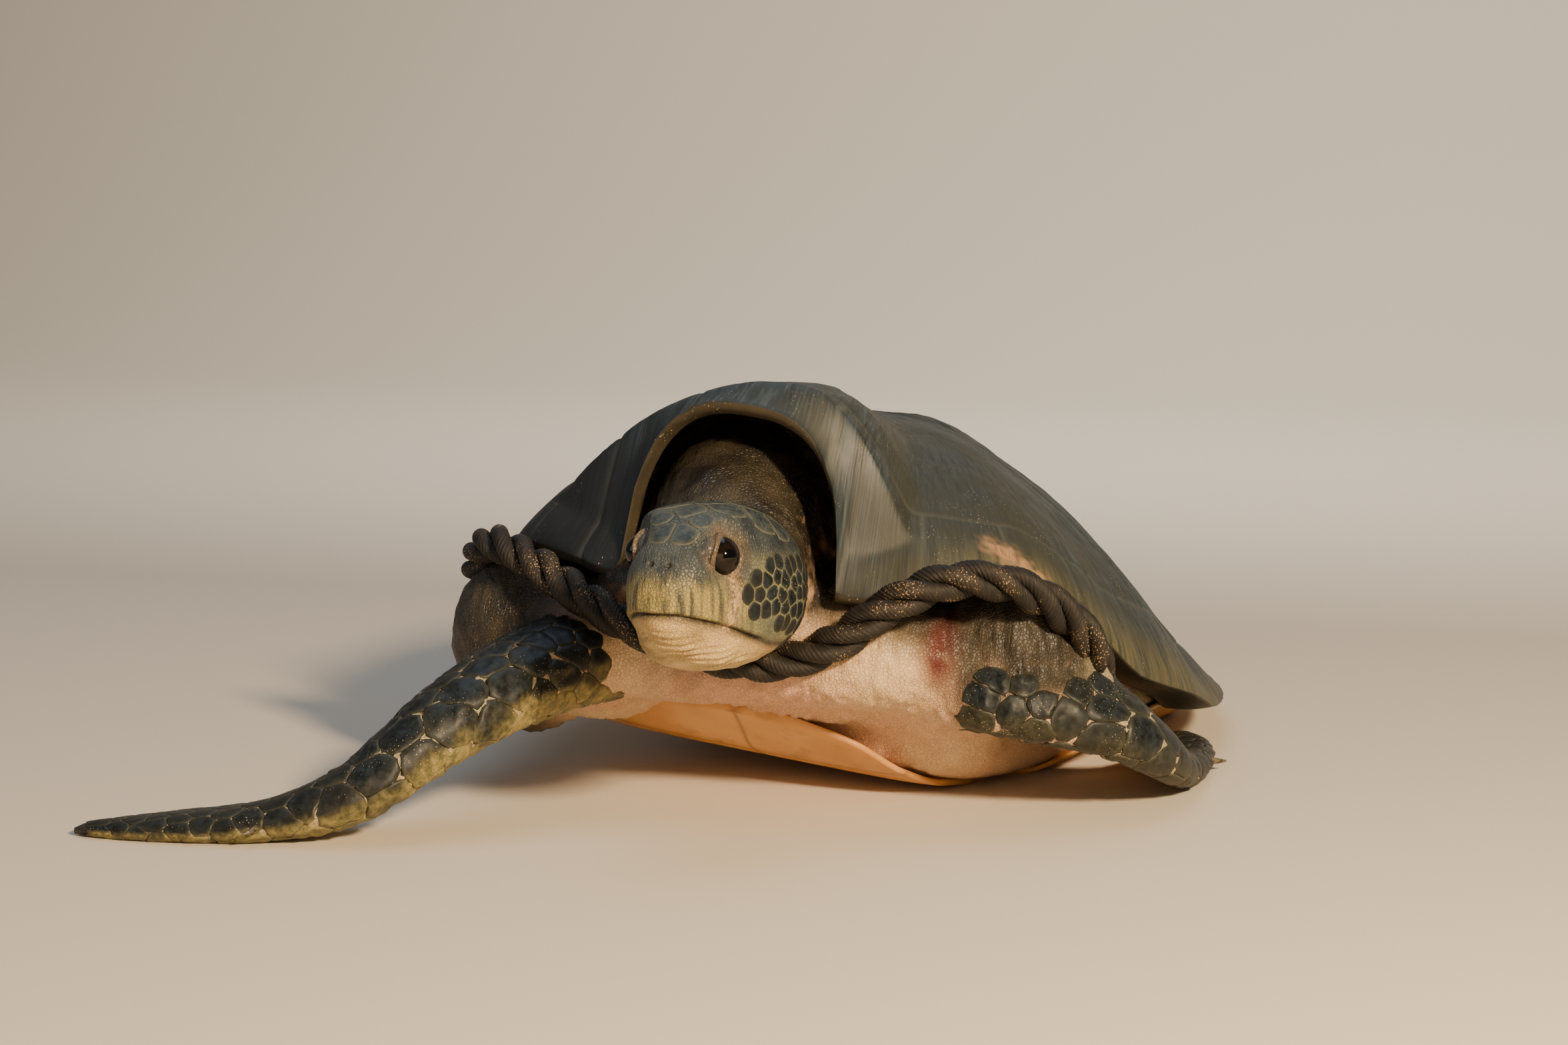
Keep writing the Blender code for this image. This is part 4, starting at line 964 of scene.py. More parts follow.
# Marks for the colours.
facing = normals(skin.data)
x, y, z = place.T
a, b, c = world_to_head(place)
under = smooth_step(-facing[:, 2], -0.25, 0.35)
chest = smooth_step(-y, 0.33, 0.40) * (1 - smooth_step(z, 0.165, 0.205)) * body_part
chest = chest * smooth_step(x, -0.235, -0.15) * (1 - smooth_step(x, 0.205, 0.245))
flipper_mark = np.zeros(len(place))
for name, limb in LIMBS.items():
    centre, _, _ = limb_frame(limb, 60)
    apart = np.linalg.norm(place[:, None] - centre[None], axis=2)
    station = apart.argmin(axis=1) / 59
    inside = smooth_step(station, 0.29, 0.36) * (apart.min(axis=1) < 0.075)
    inside = inside * (1 - smooth_step(station, 0.82, 0.90))
    flipper_mark = np.maximum(flipper_mark, inside)
pale = np.maximum(chest * (1 - flipper_mark), under * body_part * (1 - 0.5 * flipper_mark))
belly = smooth_step(0.135 - z, 0.0, 0.04) * smooth_step(-y, 0.10, 0.25) * body_part
pale = np.maximum(pale, belly * (1 - flipper_mark))
# Painted shade: the right shoulder below the shell is kept out of the cream.
shaded_shoulder = smooth_step(-x, 0.205, 0.245) * smooth_step(-y, 0.28, 0.33) * (1 - flipper_mark)
pale = pale * (1 - 0.85 * shaded_shoulder * body_part)
# Painted shade under the rope where it lies over the left arm: the hide is kept dark there.
rope_shade_on_arm = blot((0.268, -0.410, 0.168), (0.050, 0.120, 0.022), 4)
flipper_mark = flipper_mark * (1 - 0.95 * rope_shade_on_arm)
# Raised to a power, as the colours mix in linear light and half a mark reads as pale.
pale = pale * (1 - 0.95 * rope_shade_on_arm) ** 2
# Painted shade round the rope on the left shoulder, and in the left armpit below it.
pale = pale * (1 - 0.97 * blot((0.218, -0.430, 0.205), (0.108, 0.160, 0.048), 4)) ** 2.5
pale = pale * (1 - 0.85 * blot((0.203, -0.460, 0.146), (0.020, 0.100, 0.048), 2)) ** 2
tips = np.zeros(len(place))
for limb in LIMBS.values():
    off_tip = np.linalg.norm(place - np.array(limb["line"][-1]), axis=1)
    tips = np.maximum(tips, 1 - smooth_step(off_tip, 0.070, 0.110))
pale = pale * (1 - tips)
pale = np.maximum(pale, smooth_step(-above_mouth, 0.0, 0.012) * head_part)
chin = smooth_step(-above_mouth, 0.0, 0.010) * head_part
beak = smooth_step(a, 0.100, 0.150) * head_part * smooth_step(0.016 - c, 0.0, 0.030)
beak = beak * smooth_step(above_mouth, -0.004, 0.001) * (0.85 + 0.15 * smooth_step(a, 0.15, 0.19))
tear_line = 0.148 + 0.10 * (0.01 - c)
tear = bell(a - tear_line + 0.004, 0.0065) * (b > 0) * head_part
tear = tear * smooth_step(0.018 - c, 0.0, 0.010) * smooth_step(c, -0.075, -0.055)
sore = blot((0.176, -0.462, 0.156), (0.014, 0.08, 0.034), 2.4)
face = smooth_step(a, 0.112, 0.136) * smooth_step(c, -0.014, 0.004)
crown = np.maximum(smooth_step(c, 0.010, 0.040), face) * head_part
skin_marks = {
    "pale": pale,
    "chin": chin,
    "beak": beak,
    "tear": tear,
    "sore": sore * body_part,
    "flipper": flipper_mark,
    "gape": gape + nostril * head_part * (a > 0.17),
    "crown": crown,
    "skull": head_part * smooth_step(above_mouth, -0.002, 0.006),
    "lid": bell(lid_reach - 1.12, 0.16),
}
for key, value in skin_marks.items():
    mark = skin.data.attributes.new(key, "FLOAT", "POINT")
    mark.data.foreach_set("value", value.astype(np.float32))
skin.data.shade_smooth()

# Wet leather: dark and olive above, cream-pink below, with a broad soft shine.
hide, tree, spot, marks = finish("leathery_hide", *skin_marks)
cloudy = {"Vector": spot, "Scale": 24.0, "Detail": 5.0, "Roughness": 0.6}
clouds = node(tree, "ShaderNodeTexNoise", cloudy)
large = node(tree, "ShaderNodeTexNoise", {"Vector": spot, "Scale": 7.0, "Detail": 3.0})
# Creases 3 to 4 mm apart between the pebbles of the hide.
pebbly = {"Vector": spot, "Scale": 290.0, "Randomness": 0.9}
pebbles = node(tree, "ShaderNodeTexVoronoi", pebbly, feature="DISTANCE_TO_EDGE")
creases = masked(tree, 1.0, (pebbles, 0.14, 0.02))
# The beak is olive-yellow horn with dark streaks that run down from the nostrils.
streak_place = node(tree, "ShaderNodeMapping", {"Vector": spot, "Scale": (160.0, 160.0, 26.0)})
streaks = node(tree, "ShaderNodeTexNoise", {"Vector": streak_place, "Scale": 1.0, "Detail": 4.0})
beak_tone = layered(tree, "#998b52", ("#3c3d30", 1.0, (streaks, 0.42, 0.66)))
dark_hide = layered(tree, "#1e1b15", ("#3b3527", 1.0, (clouds, 0.38, 0.64)))
cream = layered(tree, "#d9bb93", ("#d6a88c", 1.0, (large, 0.40, 0.62)))
cream = layered(tree, cream, ("#a88560", 0.55, (clouds, 0.52, 0.72)))
chin_tone = layered(tree, "#d0b47a", ("#9c8150", 1.0, (clouds, 0.40, 0.68)))
seam_tone = layered(tree, "#a3987a", ("#c2a878", 1.0, marks["pale"]))
crown_tone = layered(tree, "#232d33", ("#454d4c", 1.0, (clouds, 0.40, 0.62)))
upper_head = layered(tree, "#7d7c5c", ("#565c4c", 1.0, (clouds, 0.38, 0.66)))
upper_head = layered(tree, upper_head, (crown_tone, 1.0, marks["crown"]))
grains = node(tree, "ShaderNodeTexVoronoi", {"Vector": spot, "Scale": 330.0})
tear_sand = masked(tree, marks["tear"], (grains, 0.85, 0.30))
colour = layered(
    tree,
    dark_hide,
    (cream, 1.0, marks["pale"]),
    (chin_tone, 1.0, marks["chin"]),
    (seam_tone, 1.0, marks["flipper"]),
    (upper_head, 1.0, marks["skull"]),
    (beak_tone, 1.0, marks["beak"]),
    ("#6b5b45", 0.85, marks["lid"]),
    # Painted shade: the mouth line and the nostril holes are darkened in colour.
    ("#2b1f17", 1.0, marks["gape"]),
    ("#561511", 1.0, marks["sore"], (clouds, 0.26, 0.52)),
    # Painted shade in the creases between the pebbles.
    ("#2c241b", 0.22, creases),
    ("#c09f79", tear_sand),
    ("#d8c8a8", 0.8, (grains, 0.20, 0.10), (large, 0.50, 0.66)),
)
# Fine wrinkles 4 mm apart that run round the neck and shoulders.
wrinkle_place = node(tree, "ShaderNodeMapping", {"Vector": spot, "Scale": (240.0, 60.0, 50.0)})
wrinkles = node(tree, "ShaderNodeTexNoise", {"Vector": wrinkle_place, "Scale": 1.0, "Detail": 3.0})
raised = {0: wrinkles, 1: 2.2, 2: tear_sand}
rough_hide = node(tree, "ShaderNodeMath", raised, operation="MULTIPLY_ADD")
grit = node(tree, "ShaderNodeMath", {0: rough_hide, 1: creases}, operation="SUBTRACT")
dressed(tree, colour, (clouds, 0.36, 0.60), grit, 0.55, 0.0012)
skin.data.materials.append(hide)
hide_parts("head", "neck", "trunk", "tail", *LIMBS)


# ---------------------------------------------------------------- eyes
# Large wet eyes, almost black, with a brown ring round the pupil. Each is a ball seen
# through the lids; the clear front bulges a little.
EYE_STATIONS = 48
EYE_AROUND = 96


def eye_ball(name, sign):
    """Ball whose front bulges by a bell round the way it looks."""
    polar = np.linspace(0.03, math.pi - 0.03, EYE_STATIONS)[:, None]
    ring = circle(EYE_AROUND)[None]
    look = unit(np.array([0.55, 0.82 * sign, 0.05]))
    first = unit(np.cross(look, [0.0, 0.0, 1.0]))
    second = np.cross(look, first)
    way = (
        np.cos(polar + 0 * ring)[..., None] * look
        + (np.sin(polar) * np.cos(ring))[..., None] * first
        + (np.sin(polar) * np.sin(ring))[..., None] * second
    )
    bulge = 1 + 0.045 * bell(polar, 0.55)
    local = np.array(EYE_PLACE) * (1, sign, 1) + way * (EYE_RADIUS * bulge)[..., None]
    faces = closed_grid(EYE_STATIONS, EYE_AROUND)
    return piece(name, head_to_world(local), faces, {"off_axis": polar + 0 * ring})


# A clear wet cornea over a dark iris: sharp highlights and hardly any colour.
wet, tree, spot, marks = finish("wet_dark_eye", "off_axis")
flecks = node(tree, "ShaderNodeTexNoise", {"Vector": spot, "Scale": 700.0, "Detail": 3.0})
iris = layered(tree, "#0b0806", ("#1c120a", 1.0, (flecks, 0.35, 0.65)))
pupil_edge = (marks["off_axis"], 0.34, 0.38)
iris_edge = (marks["off_axis"], 0.66, 0.74)
colour = layered(tree, "#050505", (iris, 1.0, pupil_edge), ("#0c0a09", 1.0, iris_edge))
dressed(tree, colour, 0.05).inputs["IOR"].default_value = 1.376
for name, sign in (("left", 1), ("right", -1)):
    eye = eye_ball("eyeball_" + name, sign)
    eye.data.materials.append(wet)
    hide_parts("eye_" + name)


# ---------------------------------------------------------------- scales
# Flat horny scales lie like paving over the flippers, cheeks and crown, with pale hide
# in the seams. Each is a thin domed plate whose rim sinks into the hide.
SCALE_AROUND = 16
SCALE_ROWS = (0.10, 0.34, 0.58, 0.80, 0.94, 1.0, 0.90, 0.10)
SCALE_RISE = (1.0, 1.0, 1.0, 0.96, 0.72, -0.1, -0.9, -0.9)
WALK_STEPS = 180
NEIGHBOURS = 12
CORNER_POWER = 28.0


def limb_table(limb):
    """Angle round a limb for each even step of weighted walk, its girth and length."""
    turn = np.linspace(0, 2 * math.pi, WALK_STEPS + 1)[None]
    station = np.linspace(0, 1, LIMB_STEPS + 1)[:, None]
    rings = limb_surface(limb, station + 0 * turn, turn + 0 * station)
    step = np.linalg.norm(np.diff(rings, axis=1), axis=2)
    girth = step.sum(axis=1)
    # The scales of the leading edge are the largest, so the walk is slower there.
    weight = 1.0 / (0.78 + 0.55 * np.exp(-((1 - np.cos(turn[:, :-1])) / 0.55)))
    walk = np.cumsum(step * weight, axis=1)
    walk = np.concatenate([0 * walk[:, :1], walk], axis=1)
    walk = walk / walk[:, -1:]
    even = np.linspace(0, 1, WALK_STEPS + 1)
    angles = np.array([np.interp(even, row, turn[0]) for row in walk])
    length = np.linalg.norm(np.diff(rings.mean(axis=1), axis=0), axis=1).sum()
    return angles, girth, length


def on_limb(limb, angles, t, at):
    """Surface of a limb at stations t and shares at of the weighted walk round it."""
    near_t = np.rint(t * LIMB_STEPS).astype(int)
    low_at = np.clip(np.floor(at * WALK_STEPS).astype(int), 0, WALK_STEPS - 1)
    part = at * WALK_STEPS - low_at
    turn = angles[near_t, low_at] * (1 - part) + angles[near_t, low_at + 1] * part
    return limb_surface(limb, t, turn)


def cell_radius(x, y, widest):
    """Soft Voronoi outline: R = (sum (d / 2 cos(w - q))^-n)^(-1/n) over the neighbours."""
    away = np.hypot(x, y)
    order = np.argsort(np.where(away < 1e-6, OUT_OF_REACH, away), axis=1)[:, :NEIGHBOURS]
    away = np.take_along_axis(away, order, axis=1)[..., None]
    bearing = np.arctan2(np.take_along_axis(y, order, axis=1), np.take_along_axis(x, order, axis=1))
    turns = circle(SCALE_AROUND)
    facing = np.cos(turns - bearing[..., None])
    edge = np.where(facing > 0.12, away / (2 * np.maximum(facing, 0.12)), OUT_OF_REACH)
    cell = np.sum(edge**-CORNER_POWER, axis=1) ** (-1 / CORNER_POWER)
    return np.minimum(cell, widest[:, None])


def plate_offsets(radius):
    """Offsets across and along for each plate, row and corner."""
    turns = circle(SCALE_AROUND)
    out = np.array(SCALE_ROWS)[None, :, None] * radius[:, None]
    return out * np.cos(turns), out * np.sin(turns)


def on_hide(points):
    """Nearest points of the hide and its outward direction there."""
    probe = bpy.data.meshes.new("probe")
    probe.from_pydata(points.reshape(-1, 3).tolist(), [], [])
    thing = placed("probe", probe)
    wrap = modify(thing, "SHRINKWRAP", target=skin, wrap_mode="ABOVE_SURFACE")
    found = []
    for offset in (0.0, 0.001):
        wrap.offset = offset
        graph = bpy.context.evaluated_depsgraph_get()
        graph.update()
        found.append(coordinates(thing.evaluated_get(graph).data).reshape(points.shape))
    bpy.data.objects.remove(thing, do_unlink=True)
    return found[0], unit(found[1] - found[0])


# Damp horn: nearly black with a blue cast above, olive to yellow on the underside.
horn, tree, spot, marks = finish("blue_black_scale_horn", "tone", "under", "rim", "crown")
mottled = {"Vector": spot, "Scale": 140.0, "Detail": 5.0, "Roughness": 0.65}
mottle = node(tree, "ShaderNodeTexNoise", mottled)
patch = node(tree, "ShaderNodeTexNoise", {"Vector": spot, "Scale": 18.0, "Detail": 3.0})
grains = node(tree, "ShaderNodeTexVoronoi", {"Vector": spot, "Scale": 330.0})
crown_horn = layered(tree, "#1f292f", ("#3f4848", 1.0, (mottle, 0.36, 0.62)))
olive_horn = layered(tree, "#5c5a38", ("#9a8c58", 1.0, (mottle, 0.38, 0.64)))
rim_levels = {0: marks["crown"], 1: 0.40, 2: 0.20}
rim_share = node(tree, "ShaderNodeMath", rim_levels, operation="MULTIPLY_ADD")
colour = layered(
    tree,
    "#0b0f12",
    ("#222c32", 1.0, (mottle, 0.36, 0.66)),
    ("#24241f", 0.55, marks["tone"]),
    (olive_horn, 1.0, marks["under"], (patch, 0.25, 0.55)),
    (crown_horn, 1.0, marks["crown"]),
    ("#77745f", rim_share, marks["rim"]),
    ("#d8c8a8", 0.8, (grains, 0.17, 0.09), (patch, 0.50, 0.64)),
)
shader = dressed(tree, colour, (mottle, 0.34, 0.56), mottle, 0.35, 0.0006)
shader.inputs["Specular IOR Level"].default_value = 0.22


def scale_piece(name, places, plate_uv, rise, tone, olive, crown):
    """One mesh of many plates, with its bake map: a small patch at each plate's root."""
    count = len(places)
    rows = len(SCALE_ROWS)
    base, outward = on_hide(places)
    # Corners that wrap to one point of a thin edge keep 3 % of their own spacing.
    base = base + 0.03 * (places - base)
    lift = np.array(SCALE_RISE)[None, :, None] * rise[:, None, None]
    points = base + outward * lift[..., None]
    points[..., 2] = np.maximum(points[..., 2], 0.0)
    starts = rows * SCALE_AROUND * np.arange(count)
    faces = [face for start in starts for face in closed_grid(rows, SCALE_AROUND, start)]
    whole = np.ones((count, rows, SCALE_AROUND))
    rim_mark = np.array(SCALE_ROWS)[None, :, None] ** 8 * whole
    made = piece(
        name,
        points,
        faces,
        {
            "tone": tone[:, None, None] * whole,
            "under": olive * smooth_step(-outward[..., 2], -0.20, 0.35),
            "rim": rim_mark,
            "crown": crown[:, None, None] * whole,
        },
    )
    turns = circle(SCALE_AROUND)
    spoke = 0.0015 * np.array(SCALE_ROWS)[:, None, None]
    patch_uv = spoke * np.stack([np.cos(turns), np.sin(turns)], axis=-1)[None]
    corner_uv = (plate_uv[:, None, None] + patch_uv[None]).reshape(-1, 2)
    loops = np.empty(len(made.data.loops), np.int32)
    made.data.loops.foreach_get("vertex_index", loops)
    layer = made.data.uv_layers.new(name="OFBake")
    layer.data.foreach_set("uv", corner_uv[loops].astype(np.float32).ravel())
    made.data.materials.append(horn)
    return made


# Plates grow from seeds in rings round each limb, every other ring half a plate on.
for column, (name, limb) in enumerate(LIMBS.items()):
    angles, girth, length = limb_table(limb)
    rng = np.random.default_rng(40 + column)
    front = name.startswith("front")
    olive_share = 0.12 if name == "front_flipper_left" else 1.0
    station = 0.20 if front else 0.24
    large, small = (0.038, 0.017) if front else (0.026, 0.014)
    seed_t = []
    seed_at = []
    row = 0
    while station < 0.975:
        size = curve(station, [0.2, 0.42, 1.0], [0.6 * large, large, small])
        round_limb = np.interp(station, np.linspace(0, 1, LIMB_STEPS + 1), girth)
        count = max(5, int(round(round_limb / size)))
        steps = (np.arange(count) + 0.5 * (row % 2)) / count
        seed_at.append((steps + rng.uniform(-0.24, 0.24, count) / count) % 1)
        seed_t.append(station + rng.uniform(-0.22, 0.22, count) * size / length)
        station += 0.88 * size / length
        row += 1
    seed_t = np.concatenate(seed_t)
    seed_at = np.concatenate(seed_at)
    # Metres along and across per unit of station and walk, where each seed lies.
    ahead = on_limb(limb, angles, np.clip(seed_t + 0.02, 0, 1), seed_at)
    behind = on_limb(limb, angles, np.clip(seed_t - 0.02, 0, 1), seed_at)
    covered = np.clip(seed_t + 0.02, 0, 1) - np.clip(seed_t - 0.02, 0, 1)
    along = np.linalg.norm(ahead - behind, axis=1) / covered
    beside = on_limb(limb, angles, seed_t, (seed_at + 0.03) % 1)
    before = on_limb(limb, angles, seed_t, (seed_at - 0.03) % 1)
    around = np.maximum(np.linalg.norm(beside - before, axis=1) / 0.06, 0.02)
    size = curve(seed_t, [0.2, 0.42, 1.0], [0.6 * large, large, small])
    x = (seed_t[None] - seed_t[:, None]) * along[:, None]
    y = ((seed_at[None] - seed_at[:, None] + 0.5) % 1 - 0.5) * around[:, None]
    radius = 1.03 * cell_radius(x, y, 0.90 * size) - 0.0002
    shift_x, shift_y = plate_offsets(radius)
    t = np.clip(seed_t[:, None, None] + shift_x / along[:, None, None], 0.0, 0.999)
    at = (seed_at[:, None, None] + shift_y / around[:, None, None]) % 1
    places = on_limb(limb, angles, t, at)
    # Plates are left out where the shoulder's own mass has swallowed the limb.
    root, _ = on_hide(places)
    # Past it the thin trailing edge is only drawn in a little, so more is allowed.
    allowed = np.where(seed_t < 0.42, 0.006, 0.012)
    kept = np.linalg.norm(root - places, axis=-1).max(axis=(1, 2)) < allowed
    # Nor past the tip, where the limb has closed.
    kept = kept & (t.max(axis=(1, 2)) < 0.998)
    places = places[kept]
    seed_t = seed_t[kept]
    seed_at = seed_at[kept]
    size = size[kept]
    plate_uv = np.stack([0.02 + 0.2 * column + 0.15 * seed_at, 0.05 + 0.9 * seed_t], axis=1)
    scale_piece(
        "scales_" + name,
        places,
        plate_uv,
        np.full(len(seed_t), 0.0017 if front else 0.0012) * curve(size, [0.010, 0.03], [0.7, 1.0]),
        rng.uniform(0, 1, len(seed_t)),
        olive_share,
        np.zeros(len(seed_t)),
    )

# Seeds of the head's scales, in the head's own axes: a grid over each cheek, then the
# shields of the crown, larger and in pairs.
CROWN_SHIELDS = [(0.172, 0.0105), (0.140, 0.0), (0.118, 0.026), (0.098, 0.0), (0.070, 0.020)]
CROWN_SHIELDS += [(0.044, 0.0), (0.086, 0.046), (0.030, 0.026), (0.056, 0.050), (0.155, 0.020)]
CHEEK_PITCH = 0.0158
rng = np.random.default_rng(51)
grid_a, grid_c = np.meshgrid(np.arange(0.014, 0.135, CHEEK_PITCH), np.arange(-0.046, 0.030, 0.0135))
grid_a = grid_a + 0.5 * CHEEK_PITCH * (np.arange(len(grid_a))[:, None] % 2)
grid_a = (grid_a + rng.uniform(-0.0042, 0.0042, grid_a.shape)).ravel()
grid_c = (grid_c + rng.uniform(-0.0042, 0.0042, grid_c.shape)).ravel()
off_eye = np.hypot(grid_a - EYE_PLACE[0], grid_c - EYE_PLACE[2])
kept = (off_eye > 0.029) & (grid_a < 0.136) & (grid_c > -0.046 + 0.30 * (grid_a - 0.06))
grid_a = grid_a[kept]
grid_c = grid_c[kept]
head_turns = np.linspace(0, 2 * math.pi, 721)
cheek_ring = head_form(grid_a[:, None] + 0 * head_turns, head_turns + 0 * grid_a[:, None])
cheeks = []
for sign in (1, -1):
    other_side = cheek_ring[..., 1] * sign < 0
    pick = (np.abs(cheek_ring[..., 2] - grid_c[:, None]) + OUT_OF_REACH * other_side).argmin(axis=1)
    cheeks.append(cheek_ring[np.arange(len(pick)), pick])
shield_a = np.array([a for a, b in CROWN_SHIELDS] + [a for a, b in CROWN_SHIELDS if b > 0])
shield_b = np.array([b for a, b in CROWN_SHIELDS] + [-b for a, b in CROWN_SHIELDS if b > 0])
shield_ring = head_form(shield_a[:, None] + 0 * head_turns, head_turns + 0 * shield_a[:, None])
miss = np.abs(shield_ring[..., 1] - shield_b[:, None]) + OUT_OF_REACH * (shield_ring[..., 2] < 0)
shields = shield_ring[np.arange(len(shield_a)), miss.argmin(axis=1)]
local_seeds = np.concatenate(cheeks + [shields])
seed_place, outward = on_hide(head_to_world(local_seeds))
ahead_way = unit(head_axes()[0] - outward * (outward @ head_axes()[0])[:, None])
side_way = np.cross(outward, ahead_way)
gap = seed_place[None] - seed_place[:, None]
x = np.einsum("ijk,ik->ij", gap, ahead_way)
y = np.einsum("ijk,ik->ij", gap, side_way)
turned_off = outward @ outward.T < 0.1
x = np.where(turned_off, 1.0, x)
y = np.where(turned_off, 1.0, y)
crown = np.arange(len(local_seeds)) >= 2 * len(grid_a)
widest = np.where(crown, 0.0280, 0.0108)
eye_side = np.where(local_seeds[:, 1:2] < 0, -1.0, 1.0)
nearest_eye = np.array(EYE_PLACE) * np.concatenate([eye_side**2, eye_side, eye_side**2], axis=1)
eye_gap = np.linalg.norm(local_seeds - nearest_eye, axis=1)
widest = np.minimum(widest, np.maximum(eye_gap - 0.0235, 0.004))
radius = cell_radius(x, y, widest) - np.where(crown, 0.0004, 0.0007)[:, None]
shift_x, shift_y = plate_offsets(radius)
places = (
    seed_place[:, None, None]
    + shift_x[..., None] * ahead_way[:, None, None]
    + shift_y[..., None] * side_way[:, None, None]
)
turn_uv = np.arctan2(local_seeds[:, 2], local_seeds[:, 1]) / (2 * math.pi) + 0.5
scale_piece(
    "scales_head",
    places,
    np.stack([0.83 + 0.15 * turn_uv, 0.05 + 4.5 * local_seeds[:, 0]], axis=1),
    np.where(crown, 0.00035, 0.0007),
    rng.uniform(0, 1, len(local_seeds)),
    0.0,
    crown.astype(float),
)


# ---------------------------------------------------------------- rope
# A thick laid rope slung round the front of the shell: three strands twisted together,
# each of yarns twisted the other way, old, dark and wet with sand in its grooves.
STRAND_RADIUS = 0.5 * ROPE_DIAMETER / (1 + 2 / math.sqrt(3))
STRAND_OFFSET = 0.5 * ROPE_DIAMETER - STRAND_RADIUS
ROPE_LAY = 0.118
YARNS = 9
YARN_LAY = 0.045
STRAND_RINGS = 900
STRAND_AROUND = 63
FIBRE_ROUND = 9.0
FIBRE_ALONG = 60.0

# Plant fibre spun into yarns, old and wet: dull and dark, with threads about 1 mm wide and
# 17 mm long, and paler where it is worn along the crown of each strand.
fibre, tree, spot, marks = finish("old_wet_rope_fibre", "crest", "fibre_x", "fibre_y", "fibre_z")
thread_way = {"X": marks["fibre_x"], "Y": marks["fibre_y"], "Z": marks["fibre_z"]}
thread_place = node(tree, "ShaderNodeCombineXYZ", thread_way)
threads = node(tree, "ShaderNodeTexNoise", {"Vector": thread_place, "Scale": 1.0, "Detail": 6.0})
patch = node(tree, "ShaderNodeTexNoise", {"Vector": spot, "Scale": 30.0, "Detail": 4.0})
grains = node(tree, "ShaderNodeTexVoronoi", {"Vector": spot, "Scale": 420.0})
colour = layered(
    tree,
    "#080706",
    ("#231e17", 1.0, (threads, 0.38, 0.66)),
    ("#463b2b", 0.5, marks["crest"], (patch, 0.45, 0.70)),
    ("#b99a70", 1.0, (grains, 0.34, 0.18), (patch, 0.50, 0.62)),
)
dressed(tree, colour, (threads, 0.45, 0.80), threads, 0.8, 0.0012)


def strand(name, phase):
    """Helix of radius STRAND_OFFSET round the rope's line, its section scalloped by yarns."""
    centre = line_through(ROPE, STRAND_RINGS)
    along = unit(np.gradient(centre, axis=0))
    far = walked(centre)
    first = unit(np.array([0.0, 0.0, 1.0]) - along * along[:, 2:3])
    second = np.cross(along, first)
    angle = (2 * math.pi * far / ROPE_LAY + phase)[:, None]
    radial = np.cos(angle) * first + np.sin(angle) * second
    middle = centre + STRAND_OFFSET * radial
    way = unit(np.gradient(middle, axis=0))
    out = unit(radial - way * np.sum(radial * way, axis=1, keepdims=True))
    beside = np.cross(way, out)
    turn = circle(STRAND_AROUND)[None]
    yarn_turn = turn - (2 * math.pi * far / YARN_LAY)[:, None]
    scallop = np.abs(np.cos(0.5 * YARNS * yarn_turn)) ** 0.7
    radius = STRAND_RADIUS * (0.86 + 0.14 * scallop)
    worn = 1 + 0.0004 / STRAND_RADIUS * ripple(middle, 0.03, 61)[:, None]
    points = (
        middle[:, None]
        + (radius * worn * np.cos(turn))[..., None] * out[:, None]
        + (radius * worn * np.sin(turn))[..., None] * beside[:, None]
    )
    made = piece(
        name,
        points,
        closed_grid(STRAND_RINGS, STRAND_AROUND),
        {
            "crest": np.clip(np.cos(turn), 0, 1) * scallop,
            "fibre_x": FIBRE_ROUND * np.cos(yarn_turn),
            "fibre_y": FIBRE_ROUND * np.sin(yarn_turn),
            "fibre_z": FIBRE_ALONG * far[:, None] + 0 * turn,
        },
    )
    made.data.materials.append(fibre)
    return made


for k in range(3):
    made = strand("rope_strand_%d" % (k + 1), 2 * math.pi * k / 3)
    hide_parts("rope")


# ---------------------------------------------------------------- claws
# The frame's own claws stay, one short blunt claw on the leading edge of each flipper.
# Dark horn worn by sand, with a soft shine.
nail, tree, spot, marks = finish("dark_claw_horn")
growth = node(tree, "ShaderNodeTexNoise", {"Vector": spot, "Scale": 260.0, "Detail": 4.0})
dressed(tree, layered(tree, "#2a2620", ("#6b5f46", 1.0, (growth, 0.35, 0.65))), 0.38)
for name in ("front_claw_left", "front_claw_right", "hind_claw_left", "hind_claw_right"):
    for place in bpy.data.objects[name].material_slots:
        place.material = nail


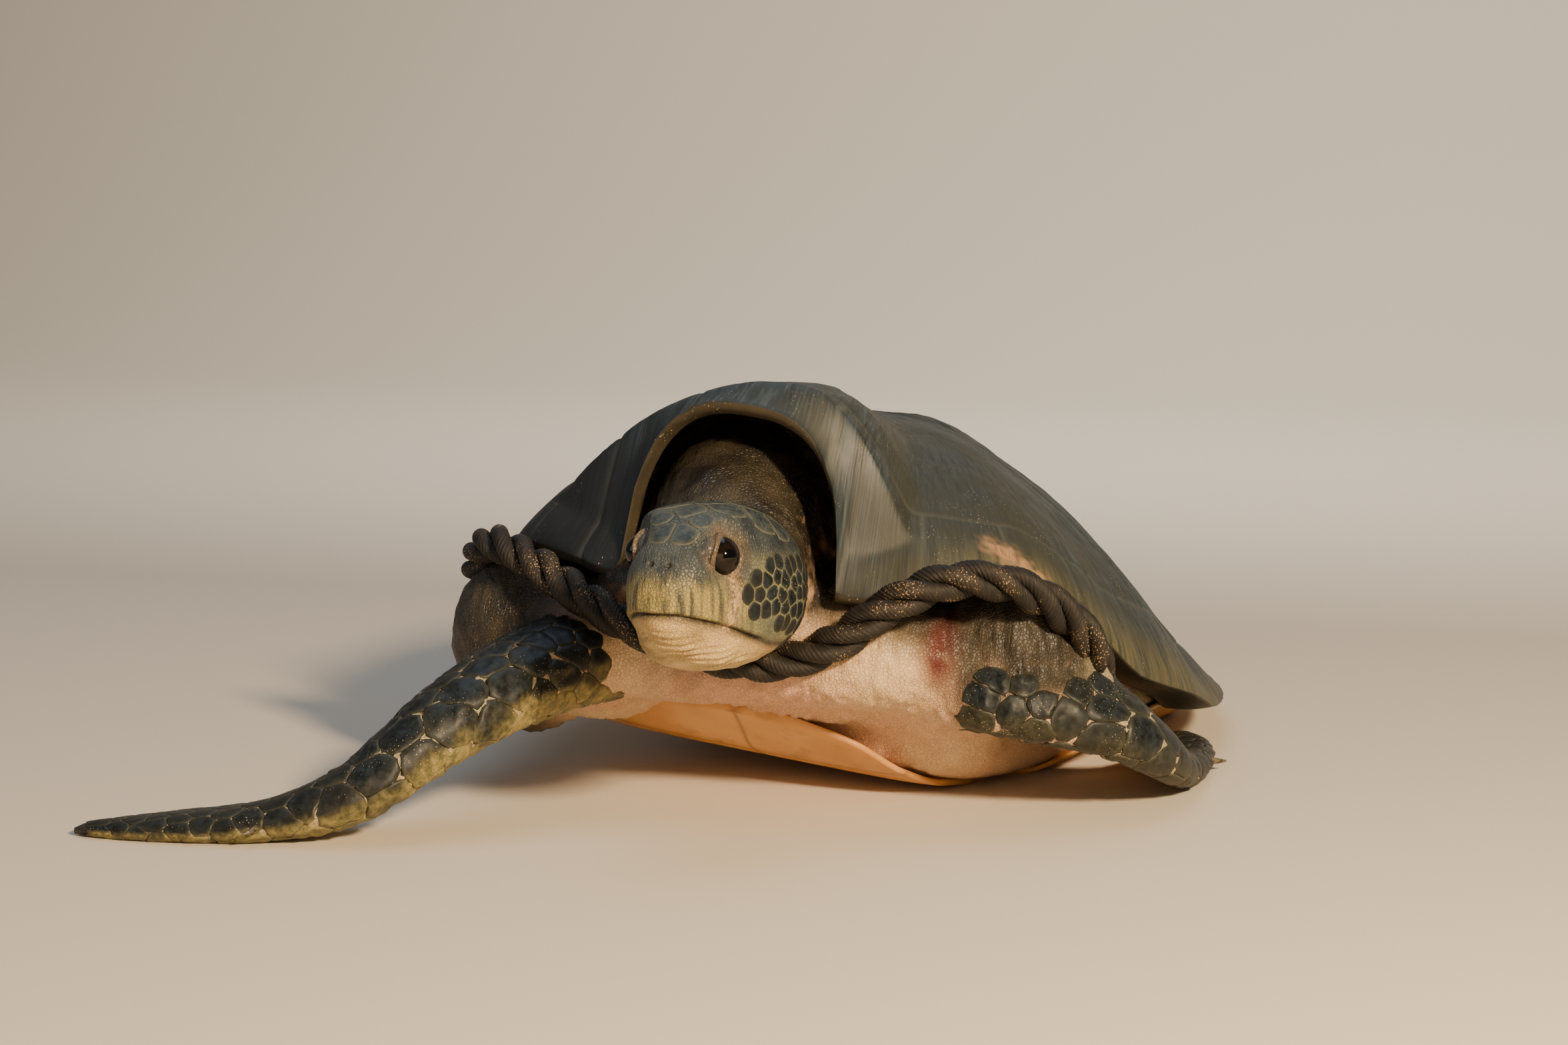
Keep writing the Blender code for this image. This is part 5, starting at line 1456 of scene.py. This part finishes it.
# ---------------------------------------------------------------- floor and light
# A pale studio floor that curves up into a wall. A warm lamp like a low sun stands to
# the turtle's left. Soft boxes fill from above and from its right, a warm card low in
# front lights the throat, and a wash lights the wall.
REACH = 9.0
BEND_START = 3.6
BEND_RADIUS = 4.0
WALL_TOP = 9.0
bend = np.linspace(0, 0.5 * math.pi, 24)
run_y = np.concatenate([[-REACH], BEND_START + BEND_RADIUS * np.sin(bend), [BEND_START + BEND_RADIUS]])
run_z = np.concatenate([[0.0], BEND_RADIUS * (1 - np.cos(bend)), [WALL_TOP]])
profile = np.stack([0 * run_y, run_y, run_z], axis=1)
both = np.concatenate([profile - (REACH, 0, 0), profile + (REACH, 0, 0)])
strip = [(i, i + len(profile), i + 1 + len(profile), i + 1) for i in range(len(profile) - 1)]
floor_mesh = bpy.data.meshes.new("floor")
floor_mesh.from_pydata(both.tolist(), [], strip)
floor_mesh.shade_smooth()
floor = placed("floor", floor_mesh)
# Matt studio paper, nearly without shine.
paper = bpy.data.materials.new("matt_studio_paper")
paper.use_nodes = True
tree = paper.node_tree
shader = tree.nodes["Principled BSDF"]
shader.inputs["Base Color"].default_value = linear("#d6cdbd")
shader.inputs["Roughness"].default_value = 0.9
floor_mesh.materials.append(paper)


def lamp(name, place, aim, power, size, tint):
    """A square soft box at a place, turned to its aim."""
    data = bpy.data.lights.new(name, "AREA")
    data.energy = power
    data.size = size
    data.color = linear(tint)[:3]
    made = placed(name, data)
    way = Vector(place) - Vector(aim)
    made.matrix_world = way.to_track_quat("Z", "Y").to_matrix().to_4x4()
    made.location = place


HEART = (0.05, -0.25, 0.18)
lamp("sun_box", (2.5, -2.7, 1.9), HEART, 300.0, 0.40, "#ffdfb2")
lamp("sky_box", (-0.4, 0.6, 3.2), HEART, 30.0, 2.2, "#cfe2fb")
lamp("side_box", (-3.0, -1.8, 1.4), HEART, 12.0, 1.6, "#dfeaf8")
lamp("low_card", (0.6, -2.4, 0.62), HEART, 8.0, 1.0, "#ffcf9a")
lamp("wall_wash", (0.0, 1.6, 3.4), (0.0, 7.0, 2.2), 260.0, 2.5, "#fff6ea")
world = bpy.data.worlds.new("studio")
bpy.context.scene.world = world
world.use_nodes = True
world.node_tree.nodes["Background"].inputs[0].default_value = linear("#dfe3e8")
world.node_tree.nodes["Background"].inputs[1].default_value = 0.17


# ---------------------------------------------------------------- set down Every
# piece is shifted so that the model stands over the middle of its own base, and rides
# the one body.
for made in made_pieces:
    made.data.transform(Matrix.Translation(MIDDLE))
    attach(made, "root")
